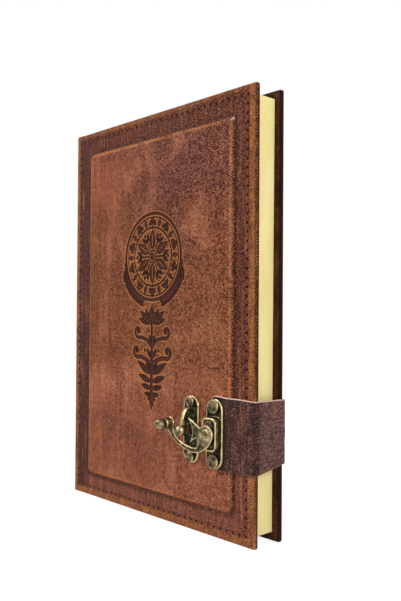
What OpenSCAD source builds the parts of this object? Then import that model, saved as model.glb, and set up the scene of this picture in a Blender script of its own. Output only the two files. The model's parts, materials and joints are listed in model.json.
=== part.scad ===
// A leather journal that stands closed on its lower edges: a case of thin boards covered
// in one piece of leather, a sewn block of pages, a leather strap round the fore-edge and
// a brass clasp whose hook swings on a rivet and catches a ball-headed post.
// Sizes are in millimetres. +X runs from the spine to the fore-edge, the front cover
// faces -Y, and +Z is up. Book coordinates start at the spine, the front face and the
// lower edge; place() then centres the whole object over the origin.

/* [Book] */
// Height of the covers
book_h = 210; // [180:1:240]
// Width from the spine to the fore-edge of the covers
book_w = 148.5; // [130:0.5:180]
// Thickness over both covers, clasp and strap left out
book_t = 18.6; // [15:0.2:30]

/* [Case] */
// Thickness of the covering leather
leather_t = 0.6; // [0.5:0.1:0.9]
// Thickness of the boards
board_t = 1.0; // [0.8:0.1:2]
// Radius of the two long corners of the spine
spine_r = 4.2; // [3:0.1:6]
// Width of the flexible hinge between the spine corner and a board
hinge_w = 4; // [3:0.5:6]
// Rounding of the leather along the cover edges
edge_r = 0.8; // [0.5:0.1:0.9]
// How far the leather is turned in over the inside of a board
turn_in = 15; // [10:1:20]
// Play between a piece of card and the leather around it
card_play = 0.05; // [0.02:0.01:0.1]

/* [Raised panel] */
// Thickness of the card that raises the panel on the front cover
panel_h = 1.3; // [0.8:0.1:2]
// Panel edge to the fore-edge of the cover
panel_fore = 14.1; // [12:0.1:18]
// Panel edge to the outside of the spine
panel_spine = 17.5; // [15:0.1:24]
// Panel edge to the head and tail of the cover
panel_end = 13; // [11:0.1:18]
// Corner radius of the panel
panel_r = 3.5; // [2:0.1:6]
// Width of the slope around the panel
panel_slope = 1.4; // [1:0.1:2]

/* [Pages] */
// Fore-edge of the pages back from the edge of the covers
square_fore = 4.6; // [3:0.1:7]
// Head and tail of the pages back from the edge of the covers
square_end = 4.1; // [2:0.1:6]
// Thickness of an endpaper
endpaper_t = 0.25; // [0.15:0.05:0.4]
// Thickness of the cloth glued to the spine of the pages
lining_t = 0.3; // [0.2:0.05:0.5]
// Hollow between the spine board and the lining
hollow_back = 0.3; // [0.2:0.05:0.8]

/* [Stitching] */
// Row of stitches to the fore-edge
stitch_fore = 5.8; // [5:0.1:7]
// Row of stitches to the head and tail
stitch_end = 4.8; // [4:0.1:6]
// Row of stitches to the outside of the spine
stitch_spine = 6.3; // [5.5:0.1:8]
// Wanted distance from stitch to stitch
stitch_pitch = 4.15; // [3:0.05:6]
// Length of a stitch that shows
stitch_len = 3.1; // [2:0.1:3.5]
// Thickness of the thread
thread_d = 0.6; // [0.4:0.05:0.8]
// Depth of the groove that the thread lies in
groove_d = 0.3; // [0.2:0.05:0.4]

/* [Strap] */
// Thickness of the strap leather
strap_t = 1.3; // [1:0.1:2]
// Height of the strap where the clasp plate sits
strap_h = 33.6; // [33:0.2:40]
// Height of the strap at the front cover's fore-edge
strap_mid_h = 32; // [28:0.2:33.2]
// Height of the strap on the back cover
strap_back_h = 29.6; // [26:0.2:31]
// Upper edge of the strap on the back cover below its edge at the front
strap_back_drop = 0.3; // [0:0.1:1]
// Length of the sewn tail on the back cover
strap_tail = 42; // [30:1:60]
// How far the strap end stays behind the edge of its clasp plate
strap_tuck = 1.2; // [0.5:0.1:3]
// Length over which the strap steps up onto the panel
strap_step = 4.5; // [3:0.1:7]

/* [Clasp] */
// Height of the clasp above the lower edge of the book
clasp_z = 49.3; // [40:0.5:120]
// Hook plate centre line to the fore-edge
hook_fore = 23.1; // [20:0.1:30]
// Distance between the centre lines of the two plates
plate_gap = 17.6; // [17:0.1:18.4]
// Width of a plate
plate_w = 10.8; // [10:0.1:12]
// Length of a plate
plate_l = 32.7; // [31:0.1:34]
// Thickness of a plate
plate_t = 1.0; // [0.8:0.1:1.2]
// Hook plate rivets to the plate's centre
rivet_off = 12.8; // [12.2:0.1:12.9]
// Radius of the hook plate's rivet heads
rivet_head_r = 3.4; // [2.6:0.1:3.6]
// Catch plate rivets to the plate's centre
catch_rivet_off = 13.4; // [13.2:0.1:13.5]
// Radius of the catch plate's rivet heads
catch_head_r = 2.7; // [2.3:0.1:2.8]
// Height of a rivet head
rivet_head_h = 1.4; // [0.8:0.1:2]
// Radius of a rivet shank
rivet_r = 1.2; // [0.8:0.1:1.5]
// Radius of the clinched tail of a rivet
tail_r = 2.2; // [1.8:0.1:2.6]
// Thickness of the clinched tail of a rivet
tail_t = 0.35; // [0.2:0.05:0.5]
// Radial room around a rivet shank
rivet_play = 0.05; // [0.02:0.01:0.1]

/* [Hook] */
// Width of the raised box under the hook
box_w = 9.4; // [8.8:0.1:10]
// Length of the raised box
box_l = 15.6; // [14:0.1:16.4]
// Height of the raised box above its plate
box_h = 3.5; // [2.5:0.1:4]
// Pivot to the centre line of the hook plate, towards the catch
pivot_off = 0.6; // [0:0.1:1]
// Radius of the hook's disc
disc_r = 4.3; // [3.8:0.1:4.6]
// Thickness of the hook
hook_t = 1.2; // [1:0.1:1.3]
// Axial play of the hook between box and rivet head
hook_play = 0.1; // [0.05:0.01:0.15]
// Radius of the pivot rivet's shank
pivot_r = 1.25; // [1:0.05:1.5]
// Radial room of the hook on its pivot
pivot_play = 0.06; // [0.03:0.01:0.1]
// Pivot to the knob at the tip of the arm
hook_reach = 25.9; // [25.5:0.1:26.3]
// Radius of the fan's hollow edge around the post
fan_r = 7.7; // [6.5:0.1:8.5]
// Radius of the boss at the tip of the arm
tip_r = 3.2; // [2.8:0.1:3.3]
// Length of the knob from the hook to the end of its ball
knob_l = 8.2; // [7.5:0.1:10]
// Radius of the knob's ball
knob_r = 2.75; // [2.65:0.05:2.85]
// Radius of the knob's collar on the hook
collar_r = 3.2; // [3:0.1:3.4]
// Height of that collar
collar_h = 1; // [0.6:0.1:1.4]
// Radius of the pin that rivets the knob to the hook
knob_pin_r = 1.2; // [1:0.1:1.5]
// Radius of the neck under the ball
neck_r = 2.5; // [2.2:0.1:2.6]

/* [Catch] */
// Radius of the ball on the catch post
ball_r = 2.8; // [2.4:0.1:2.9]
// Ball centre above the catch plate
ball_up = 6.4; // [6.2:0.1:6.8]
// Radius of the catch post
post_r = 2.2; // [1.6:0.1:2.3]
// Width of the horn that braces the post
horn_w = 2.2; // [1.6:0.1:2.6]
// Thickness of the horn
horn_t = 1.6; // [1.2:0.1:2]
// Outer radius of the horn's bend
horn_r = 11.4; // [11.2:0.1:11.6]
// Centre of that bend behind the face of the catch plate
horn_in = 4.2; // [4.2:0.1:4.4]

/* [Centrepiece] */
// Height of the medallion's centre
medal_z = 134.7; // [120:0.5:140]
// Outer radius of the medallion
medal_r = 23.3; // [18:0.1:26]
// Lowest point of the pendant
pendant_z = 55; // [50:0.5:80]
// Width of the medallion's rim
rim_w = 1.5; // [0.8:0.1:2]
// Motifs in the band inside the rim, an even number
band_count = 20; // [12:2:28]
// Width of that band's motifs
band_w = 4; // [3:0.1:4.4]
// Length of the flower's petals
petal_l = 10.6; // [8:0.1:11]
// Width of the pendant's trunk at its top
pendant_trunk = 1.1; // [0.8:0.1:1.6]
// Depth of the pressed pattern
press_d = 0.25; // [0.15:0.05:0.3]

/* [Hidden] */
$fn = 48;
eps = 0.01;
cover_t = 2 * leather_t + board_t;
board_x0 = spine_r + hinge_w;
board_inset = leather_t + card_play;
panel_x0 = panel_spine;
panel_x1 = book_w - panel_fore;
panel_cx = (panel_x0 + panel_x1) / 2;
panel_top = -panel_h;
window_x0 = board_x0 + turn_in;
window_x1 = book_w - turn_in;
block_x0 = leather_t + board_t + hollow_back + lining_t;
block_x1 = book_w - square_fore;
block_y0 = cover_t + endpaper_t;
block_y1 = book_t - cover_t - endpaper_t;
hook_x = book_w - hook_fore;
catch_x = hook_x - plate_gap;
pivot_x = hook_x - pivot_off;
strap_x0 = hook_x - plate_w / 2 + strap_tuck;
strap_out = panel_top - strap_t;
tail_cz = clasp_z + strap_mid_h / 2 - strap_back_drop - strap_back_h / 2;
plate_face = strap_out - plate_t;
box_face = plate_face - box_h;
hook_back = box_face - hook_play;
hook_front = hook_back - hook_t;
catch_back = panel_top;
catch_face = catch_back - plate_t;
// Centre of the tip boss, counted from the pivot
tip_c = hook_reach * [-1, 0.0965];
post_c = [catch_x - pivot_x, 0];
knob_tip = hook_front - knob_l;
// Where the medallion's band and petals start
band_r = medal_r - 2.1 * rim_w - band_w;
petal_in = band_r - 2 - petal_l;
// Centre of the object's bounding box in book coordinates
mid_x = (book_w + strap_t) / 2;
mid_y = (knob_tip + book_t + strap_t + thread_d) / 2;

leather_colour = [0.55, 0.34, 0.24];
strap_colour = [0.36, 0.23, 0.20];
card_colour = [0.62, 0.56, 0.46];
paper_colour = [0.93, 0.87, 0.63];
thread_colour = [0.42, 0.20, 0.12];
brass_colour = [0.56, 0.50, 0.34];

module place() translate([-mid_x, -mid_y, 0]) children();

// A front view outline, given as x and z, pushed from y0 towards the back
module from_front(y0, depth)
    translate([0, y0 + depth, 0]) rotate([90, 0, 0]) linear_extrude(depth) children();

// A side view outline, given as y and z, pushed from x0 towards the fore-edge
module from_side(x0, length)
    translate([x0, 0, 0]) rotate([90, 0, 90]) linear_extrude(length) children();

// A shape turned about the z axis, laid down so that it points out of the front cover
module facing_front(pos) translate(pos) rotate([90, 0, 0]) children();

module rounded_rect(x0, z0, x1, z1, r) {
    translate([x0 + r, z0]) square([x1 - x0 - 2 * r, z1 - z0]);
    translate([x0, z0 + r]) square([x1 - x0, z1 - z0 - 2 * r]);
    for (x = [x0 + r, x1 - r], z = [z0 + r, z1 - r]) translate([x, z]) circle(r);
}

// Plan of the closed case: wide round corners at the spine, small ones at the fore-edge
module case_plan(inset, r_fore) {
    r = spine_r - inset;
    x1 = book_w - inset;
    y1 = book_t - inset;
    translate([inset + r, inset]) square([x1 - inset - r - r_fore, y1 - inset]);
    translate([inset, inset + r]) square([x1 - inset, y1 - inset - 2 * r]);
    translate([x1 - r_fore - eps, inset + r_fore])
        square([r_fore + eps, y1 - inset - 2 * r_fore]);
    for (y = [inset + r, y1 - r]) translate([inset + r, y]) circle(r);
    for (y = [inset + r_fore, y1 - r_fore]) translate([x1 - r_fore, y]) circle(r_fore);
}

// The room between the covers: narrow between the boards, wider at the hinges
module pages_room() {
    translate([0, 0, -1]) linear_extrude(book_h + 2) {
        translate([leather_t + spine_r, cover_t])
            square([book_w, book_t - 2 * cover_t]);
        intersection() {
            case_plan(leather_t, leather_t);
            square([board_x0, book_t]);
        }
    }
}

// Head and tail edges of each cover are rounded like its fore-edge
module cover_edges() {
    from_side(-1, book_w + 2)
        for (y = [0, book_t - cover_t]) rounded_rect(y, 0, y + cover_t, book_h, edge_r);
}

module board_blank(y0, play) {
    translate([board_x0 + play, y0, board_inset - card_play + play])
        cube([book_w - leather_t - board_x0 - 2 * play, board_t,
            book_h - 2 * leather_t - 2 * play]);
}

// The opening that the turned-in leather leaves on the inside of a board
module window_blank(y0, play, over)
    translate([window_x0 + play, y0 - over, turn_in + play])
        cube([window_x1 - window_x0 - 2 * play, leather_t + 2 * over,
            book_h - 2 * turn_in - 2 * play]);

module stitch_outline(inset)
    rounded_rect(stitch_spine + inset, stitch_end + inset,
        book_w - stitch_fore - inset, book_h - stitch_end - inset, 0.5);

module stitch_groove(y0) {
    from_front(y0, groove_d + eps) difference() {
        stitch_outline(-thread_d * 0.8);
        stitch_outline(thread_d * 0.8);
    }
}

// One stitch along x, an eight-sided bar that lies on the plane z = 0
module stitch(l)
    translate([0, 0, thread_d / 2]) rotate([0, 90, 0]) rotate([0, 0, 22.5])
        cylinder(h = l, d = thread_d / cos(22.5), center = true, $fn = 8);

// A closed row of stitches around a rectangle, each side divided evenly
module stitch_ring(x0, z0, x1, z1) {
    nx = round((x1 - x0) / stitch_pitch);
    nz = round((z1 - z0) / stitch_pitch);
    px = (x1 - x0) / nx;
    pz = (z1 - z0) / nz;
    for (i = [0 : nx - 1], z = [z0, z1]) translate([x0 + (i + 0.5) * px, z, 0]) stitch(stitch_len);
    for (i = [0 : nz - 1], x = [x0, x1])
        translate([x, z0 + (i + 0.5) * pz, 0]) rotate([0, 0, 90]) stitch(stitch_len);
}

// The pressed centrepiece: a medallion of rings, beads and petals over a leafy pendant.
// A leaf of length l and width w stands on the origin and points along y.
module leaf(l, w) {
    r = (l * l / 4 + w * w / 4) / w;
    intersection() {
        translate([r - w / 2, l / 2]) circle(r);
        translate([w / 2 - r, l / 2]) circle(r);
    }
}

module ring(r, w) difference() {
    circle(r);
    circle(r - w);
}

// A motif set at radius r in direction a, pointing outwards or leaning by turn
module at_angle(a, r, turn = 0) rotate(a) translate([r, 0]) rotate(turn - 90) children();

// Rings, a band of leaves and beads, and a flower of six petals with sprigs between
module medallion() {
    ring(medal_r, rim_w);
    ring(medal_r - 1.6 * rim_w, rim_w / 3);
    for (i = [0 : band_count - 1]) at_angle(i * 360 / band_count, band_r)
        if (i % 2 == 0) leaf(band_w, band_w * 0.58);
        else translate([0, band_w / 2]) {
            circle(band_w * 0.24);
            ring(band_w * 0.45, band_w * 0.1);
        }
    ring(band_r - 0.5, rim_w / 2);
    for (i = [0 : 5]) {
        at_angle(i * 60 + 30, petal_in) leaf(petal_l, petal_l * 0.47);
        at_angle(i * 60, petal_in) translate([-0.3, 0]) square([0.6, petal_l * 0.55]);
        for (turn = [-35, 35]) at_angle(i * 60, petal_in + petal_l * 0.45, turn)
            leaf(petal_l * 0.5, petal_l * 0.18);
        at_angle(i * 60, petal_in + petal_l * 0.85) circle(petal_l * 0.08);
    }
    ring(petal_in - 0.4, 0.5);
    circle(petal_in - 1.7);
}

// Leaves that lie along the lower rim of the medallion, on both sides
module cradle() {
    for (side = [0, 1], i = [0 : 5]) mirror([side, 0])
        at_angle(-14 - 9.5 * i, medal_r + 0.9 + 0.25 * i, -66 - 3.4 * i)
            leaf(medal_r * 0.28, medal_r * 0.115);
    difference() {
        circle(medal_r + rim_w);
        translate([0, rim_w]) circle(medal_r + rim_w + 0.2);
    }
}

// A scroll: a stem that rises into an open ring round a bead
module scroll(r) {
    rotate(180) leaf(3 * r, r * 0.6);
    translate([0, r * 0.8]) {
        ring(r, r * 0.25);
        circle(r * 0.27);
    }
}

// Parts of one side of the pendant: share of its drop, lean from upright, length, width
palmette_leaves = [[0.22, -54, 8.6, 3], [0.22, -30, 7.4, 2.4], [0.22, -80, 6.8, 2.4]];
trunk_leaves = [[0.52, -26, 4.8, 1.9], [0.635, -32, 6, 2], [0.66, -60, 10.2, 3.3],
    [0.73, -73, 8.6, 2.9], [0.79, -77, 6.8, 2.5], [0.85, -84, 5, 2.1]];
// Share of the drop, reach from the trunk, radius
scrolls = [[0.26, 7.9, 2.9], [0.435, 9.3, 3.1]];

module pendant() {
    drop = medal_z - medal_r - pendant_z;
    trunk = pendant_trunk;
    polygon([[-trunk / 2, -0.05 * drop], [trunk / 2, -0.05 * drop],
        [trunk, -0.92 * drop], [-trunk, -0.92 * drop]]);
    translate([0, -0.2 * drop]) leaf(0.16 * drop, 4.4);
    translate([0, -drop]) leaf(0.15 * drop, 3.2);
    for (side = [0, 1]) mirror([side, 0]) {
        for (l = concat(palmette_leaves, trunk_leaves))
            translate([trunk / 2, -l[0] * drop]) rotate(l[1]) leaf(l[2], l[3]);
        for (c = scrolls) translate([c[1], -c[0] * drop]) rotate(-24) scroll(c[2]);
    }
}

module centrepiece() {
    translate([panel_cx, medal_z]) medallion();
    translate([panel_cx, medal_z]) cradle();
    translate([panel_cx, medal_z - medal_r]) pendant();
}

module catch_rivet_holes(r, y0, depth)
    for (z = [-catch_rivet_off, catch_rivet_off])
        facing_front([catch_x, y0 + depth, clasp_z + z]) cylinder(h = depth, r = r);

module cover_leather() color(leather_colour) place() {
    difference() {
        union() {
            intersection() {
                linear_extrude(book_h) case_plan(0, edge_r);
                union() {
                    cover_edges();
                    translate([-1, -1, 0]) cube([board_x0 + 1, book_t + 2, book_h]);
                }
            }
            hull() {
                from_front(-panel_h, eps)
                    rounded_rect(panel_x0 + panel_slope, panel_end + panel_slope,
                        panel_x1 - panel_slope, book_h - panel_end - panel_slope, panel_r);
                from_front(0, leather_t / 2)
                    rounded_rect(panel_x0, panel_end, panel_x1, book_h - panel_end,
                        panel_r + panel_slope);
            }
        }
        pages_room();
        board_blank(leather_t, 0);
        board_blank(book_t - leather_t - board_t, 0);
        window_blank(leather_t + board_t, 0, eps);
        window_blank(book_t - cover_t, 0, eps);
        panel_blank(0, eps);
        stitch_groove(0);
        translate([0, book_t, 0]) mirror([0, 1, 0]) stitch_groove(0);
        from_front(-panel_h - eps, press_d + eps) centrepiece();
        catch_rivet_holes(rivet_r + rivet_play, -panel_h - 1, leather_t + 2);
    }
}

// Card under the leather of the raised panel; the leather slopes down around it
module panel_blank(play, over)
    from_front(leather_t - panel_h + play, panel_h - play + over)
        rounded_rect(panel_x0 + panel_slope + play, panel_end + panel_slope + play,
            panel_x1 - panel_slope - play, book_h - panel_end - panel_slope - play, panel_r);

module front_panel() color(card_colour) place() difference() {
    panel_blank(card_play, 0);
    catch_rivet_holes(rivet_r + rivet_play, -panel_h, leather_t + panel_h + 1);
}

module front_board() color(card_colour) place() difference() {
    board_blank(leather_t, card_play);
    catch_rivet_holes(rivet_r + rivet_play, 0, cover_t);
}

module back_board() color(card_colour) place()
    board_blank(book_t - leather_t - board_t, card_play);

module front_infill() color(card_colour) place() difference() {
    window_blank(leather_t + board_t, card_play, 0);
    catch_rivet_holes(tail_r + rivet_play, leather_t, cover_t);
}

module back_infill() color(card_colour) place()
    window_blank(book_t - cover_t, card_play, 0);

module spine_board() color(card_colour) place()
    translate([leather_t, spine_r, leather_t])
        cube([board_t, book_t - 2 * spine_r, book_h - 2 * leather_t]);

module endpaper(y0) color(paper_colour) place()
    translate([block_x0, y0, square_end])
        cube([block_x1 - block_x0, endpaper_t, book_h - 2 * square_end]);

module front_endpaper() endpaper(cover_t);

module back_endpaper() endpaper(book_t - cover_t - endpaper_t);

module page_block() color(paper_colour) place()
    translate([block_x0, block_y0, square_end])
        cube([block_x1 - block_x0, block_y1 - block_y0, book_h - 2 * square_end]);

module spine_lining() color([0.86, 0.83, 0.74]) place()
    translate([block_x0 - lining_t, block_y0, square_end + 6])
        cube([lining_t, block_y1 - block_y0, book_h - 2 * square_end - 12]);

module cover_stitching()
    rotate([90, 0, 0]) stitch_ring(stitch_spine, stitch_end,
        book_w - stitch_fore, book_h - stitch_end);

module front_stitching() color(thread_colour) place()
    translate([0, groove_d, 0]) cover_stitching();

module back_stitching() color(thread_colour) place()
    translate([0, book_t - groove_d, 0]) mirror([0, 1, 0]) cover_stitching();

// Inner side of the strap, from its end on the panel round the fore-edge to its tail,
// as a point and the direction in which the leather's thickness lies
function step_up(x) = let (t = min(1, max(0, (x - panel_x1) / strap_step)))
    (1 + cos(180 * t)) / 2;
bend_step = 15;
bend_r = edge_r / cos(bend_step / 2);
function strap_bend(a, y) =
    [book_w - edge_r + bend_r * cos(a), y + bend_r * sin(a), cos(a), sin(a)];
function strap_line() = concat(
    [[strap_x0, panel_top, 0, -1]],
    [for (i = [0 : 12]) let (x = panel_x1 + strap_step * i / 12)
        [x, panel_top * step_up(x), 0, -1]],
    [for (a = [-90 : bend_step : 0]) strap_bend(a, edge_r)],
    [for (a = [0 : bend_step : 90]) strap_bend(a, book_t - edge_r)],
    [[book_w - strap_tail, book_t, 0, 1]]);

module strap_plan() {
    line = strap_line();
    n = len(line);
    polygon(concat([for (p = line) [p[0], p[1]]],
        [for (i = [n - 1 : -1 : 0]) let (p = line[i])
            [p[0] + p[2] * strap_t, p[1] + p[3] * strap_t]]));
}

// The strap narrows from the clasp plate to the fore-edge in front view, and further to
// the back cover in side view
module strap_front_outline() {
    x_end = book_w + strap_t + 1;
    x_tail = min(strap_x0, book_w - strap_tail) - 1;
    run = [for (i = [0 : 8]) let (t = i / 8)
        [strap_x0 + t * (book_w - strap_x0),
            strap_mid_h / 2 + (strap_h - strap_mid_h) / 4 * (1 + cos(180 * t))]];
    translate([0, clasp_z]) polygon(concat(
        [[x_tail, strap_h / 2]], run, [[x_end, strap_mid_h / 2], [x_end, -strap_mid_h / 2]],
        [for (i = [8 : -1 : 0]) [run[i][0], -run[i][1]]], [[x_tail, -strap_h / 2]]));
}

module strap_side_outline() {
    y_end = book_t + 2 * strap_t;
    back_top = strap_mid_h / 2 - strap_back_drop;
    translate([0, clasp_z]) polygon([
        [strap_out - 1, strap_h / 2], [panel_top, strap_h / 2], [0, strap_mid_h / 2],
        [book_t, back_top], [y_end, back_top],
        [y_end, back_top - strap_back_h], [book_t, back_top - strap_back_h],
        [0, -strap_mid_h / 2], [panel_top, -strap_h / 2], [strap_out - 1, -strap_h / 2]]);
}

// Dents that the cover's stitches leave in the strap where it lies over them
module stitch_dents()
    for (y0 = [groove_d - thread_d - card_play, book_t])
        from_front(y0, thread_d - groove_d + card_play) difference() {
            stitch_outline(-thread_d * 0.8);
            stitch_outline(thread_d * 0.8);
        }

module strap() color(strap_colour) place() difference() {
    intersection() {
        translate([0, 0, clasp_z - strap_h]) linear_extrude(2 * strap_h) strap_plan();
        from_front(strap_out - 1, book_t + strap_t + 6) strap_front_outline();
        from_side(0, book_w + strap_t + 1) strap_side_outline();
    }
    hook_rivet_holes(rivet_r + rivet_play, strap_out - 1, strap_t + 2);
    hook_rivet_holes(tail_r + rivet_play, panel_top - tail_t, tail_t + 1);
    stitch_dents();
}

module hook_rivet_holes(r, y0, depth)
    for (z = [-rivet_off, rivet_off])
        facing_front([hook_x, y0 + depth, clasp_z + z]) cylinder(h = depth, r = r);

// Box of stitches that holds the strap's tail on the back cover
module strap_stitching() color(thread_colour) place()
    translate([0, book_t + strap_t, 0]) mirror([0, 1, 0]) rotate([90, 0, 0])
        stitch_ring(book_w - strap_tail + 4, tail_cz - strap_back_h / 2 + 4,
            book_w - strap_tail + 4 + 6 * stitch_pitch, tail_cz + strap_back_h / 2 - 4);

// A long plate with half-round ends
module plate_outline() {
    end = plate_l / 2 - plate_w / 2;
    translate([-plate_w / 2, -end]) square([plate_w, 2 * end]);
    for (z = [-end, end]) translate([0, z]) circle(d = plate_w);
}

module catch_plate() color(brass_colour) place() {
    difference() {
        union() {
            from_front(catch_face, plate_t)
                translate([catch_x, clasp_z]) plate_outline();
            facing_front([catch_x, catch_back, clasp_z]) rotate_extrude() {
                square([post_r, plate_t + ball_up]);
                intersection() {
                    translate([0, plate_t + ball_up]) circle(ball_r);
                    square([ball_r, 2 * (plate_t + ball_up)]);
                }
            }
            from_side(catch_x - horn_w / 2, horn_w) intersection() {
                translate([catch_face + horn_in, clasp_z - 0.3]) ring(horn_r, horn_t);
                translate([catch_face - ball_up, clasp_z])
                    square([ball_up + plate_t / 2, horn_r]);
            }
        }
        catch_rivet_holes(rivet_r + rivet_play, catch_face - 1, plate_t + 2);
    }
}

// A flat-topped dome on the plate, a shank and a clinched tail
module rivet(y_face, y_tail, x, z, head_r) color(brass_colour) place()
    facing_front([x, y_tail, z]) rotate_extrude() {
        up = y_tail - y_face;
        square([tail_r, tail_t]);
        square([rivet_r, up]);
        round_r = rivet_head_h * 0.7;
        translate([0, up]) square([head_r - round_r, rivet_head_h]);
        translate([0, up]) square([head_r, rivet_head_h - round_r]);
        translate([head_r - round_r, up + rivet_head_h - round_r]) intersection() {
            circle(round_r);
            square(round_r);
        }
    }

module catch_rivet(side)
    rivet(catch_face, cover_t, catch_x, clasp_z + side * catch_rivet_off, catch_head_r);

module hook_rivet(side)
    rivet(plate_face, panel_top, hook_x, clasp_z + side * rivet_off, rivet_head_r);

module catch_rivet_top() catch_rivet(1);

module catch_rivet_bottom() catch_rivet(-1);

module hook_rivet_top() hook_rivet(1);

module hook_rivet_bottom() hook_rivet(-1);

module hook_plate() color(brass_colour) place() difference() {
    union() {
        from_front(plate_face, plate_t) translate([hook_x, clasp_z]) plate_outline();
        from_front(box_face, box_h + eps)
            rounded_rect(hook_x - box_w / 2, clasp_z - box_l / 2,
                hook_x + box_w / 2, clasp_z + box_l / 2, 2.8);
    }
    hook_rivet_holes(rivet_r + rivet_play, plate_face - 1, plate_t + 2);
    facing_front([pivot_x, plate_face + plate_t + 1, clasp_z])
        cylinder(h = box_h + plate_t + 2, r = pivot_r + rivet_play);
}

module pivot_rivet() color(brass_colour) place()
    facing_front([pivot_x, strap_out, clasp_z]) rotate_extrude() {
        up = strap_out - hook_front + hook_play;
        square([pivot_r, up + eps]);
        translate([0, up]) square([2.3, 0.3]);
        translate([0, up + 0.3]) intersection() {
            translate([0, -3.2]) circle(3.95);
            square([2.3, 1]);
        }
    }

// Lower and upper edge of the crescent arm, as shares of the reach, from the disc to the
// tip boss and back to the fan
arm_outer = [[0.131, -0.112], [0.046, -0.218], [-0.081, -0.307], [-0.232, -0.359],
    [-0.409, -0.365], [-0.595, -0.322], [-0.761, -0.255], [-0.9, -0.174], [-1.015, -0.081],
    [-1.093, 0.015]];
arm_inner = [[-0.896, 0.031], [-0.838, -0.093], [-0.734, -0.178], [-0.618, -0.224],
    [-0.502, -0.253], [-0.386, -0.27], [-0.282, -0.266], [-0.216, -0.232], [-0.193, -0.178],
    [-0.208, -0.12]];
// Lower and upper edge of the fan, and the angles on the post between which it is hollow
fan_low = [[-0.261, -0.102], [-0.351, -0.145]];
fan_top = [[-0.471, 0.263], [-0.162, 0.112]];
fan_angles = [-40, 51];
// Angles between which the disc and the tip boss show as round edges
disc_angles = [125, -20];
tip_angles = [210, -20];

// A smooth line through the points p, with n steps from each to the next
function between(a, b, c, d, t) = (2 * b + (c - a) * t + (2 * a - 5 * b + 4 * c - d) * t * t
    + (3 * b - a - 3 * c + d) * t * t * t) / 2;
function smooth_line(p, n) = let (last = len(p) - 1) concat(
    [for (i = [0 : last - 1], k = [0 : n - 1])
        between(p[max(i - 1, 0)], p[i], p[i + 1], p[min(i + 2, last)], k / n)], [p[last]]);
// A round edge about c between two angles, in n steps
function round_edge(c, r, angles, n) = [for (k = [0 : n])
    let (a = angles[0] + (angles[1] - angles[0]) * k / n) c + r * [cos(a), sin(a)]];

// Outline of the hook about its pivot: disc, crescent arm, tip and fan in one walk
module hook_outline() difference() {
    polygon(concat(round_edge([0, 0], disc_r, disc_angles, 14),
        smooth_line(hook_reach * arm_outer, 3), round_edge(tip_c, tip_r, tip_angles, 20),
        smooth_line(hook_reach * arm_inner, 3), hook_reach * fan_low,
        round_edge(post_c, fan_r, fan_angles, 10), hook_reach * fan_top));
    circle(pivot_r + pivot_play);
    translate(tip_c) circle(knob_pin_r + pivot_play);
}

module swing_hook() color(brass_colour) place()
    translate([pivot_x, 0, clasp_z]) from_front(hook_front, hook_t) hook_outline();

// Turned knob: a collar that narrows to a neck under a ball, and the pin that holds it
module hook_knob() color(brass_colour) place()
    facing_front([pivot_x + tip_c[0], hook_back, clasp_z + tip_c[1]]) rotate_extrude() {
        ball_at = hook_t + knob_l - knob_r;
        square([knob_pin_r, hook_t + 1]);
        translate([0, hook_t]) polygon([[0, 0], [collar_r, 0], [collar_r, collar_h],
            [(collar_r + neck_r) / 2, 1.5 * collar_h], [neck_r, ball_at - hook_t - 1.2],
            [0, ball_at - hook_t]]);
        intersection() {
            translate([0, ball_at]) circle(knob_r);
            translate([0, ball_at - knob_r]) square([knob_r, 2 * knob_r]);
        }
    }

cover_leather();
front_board();
back_board();
spine_board();
front_panel();
front_infill();
back_infill();
front_endpaper();
back_endpaper();
page_block();
spine_lining();
front_stitching();
back_stitching();
strap();
strap_stitching();
catch_plate();
catch_rivet_top();
catch_rivet_bottom();
hook_plate();
hook_rivet_top();
hook_rivet_bottom();
pivot_rivet();
swing_hook();
hook_knob();
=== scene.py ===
# %% [markdown]
# # A leather journal with a swing-hook clasp
# The journal stands closed on its lower edges. Its case is thin board covered in one
# piece of oiled leather, with a card under the front that raises a panel. A darker strap
# comes round the fore-edge, and its brass hook swings onto a ball-headed post.
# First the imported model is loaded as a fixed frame. Every later piece takes its place
# from that frame, so nothing has to be fitted by eye afterwards.

# %% Load the frame
import json
import math

import bmesh
import bpy
import numpy as np
from mathutils import Matrix, Vector


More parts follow.
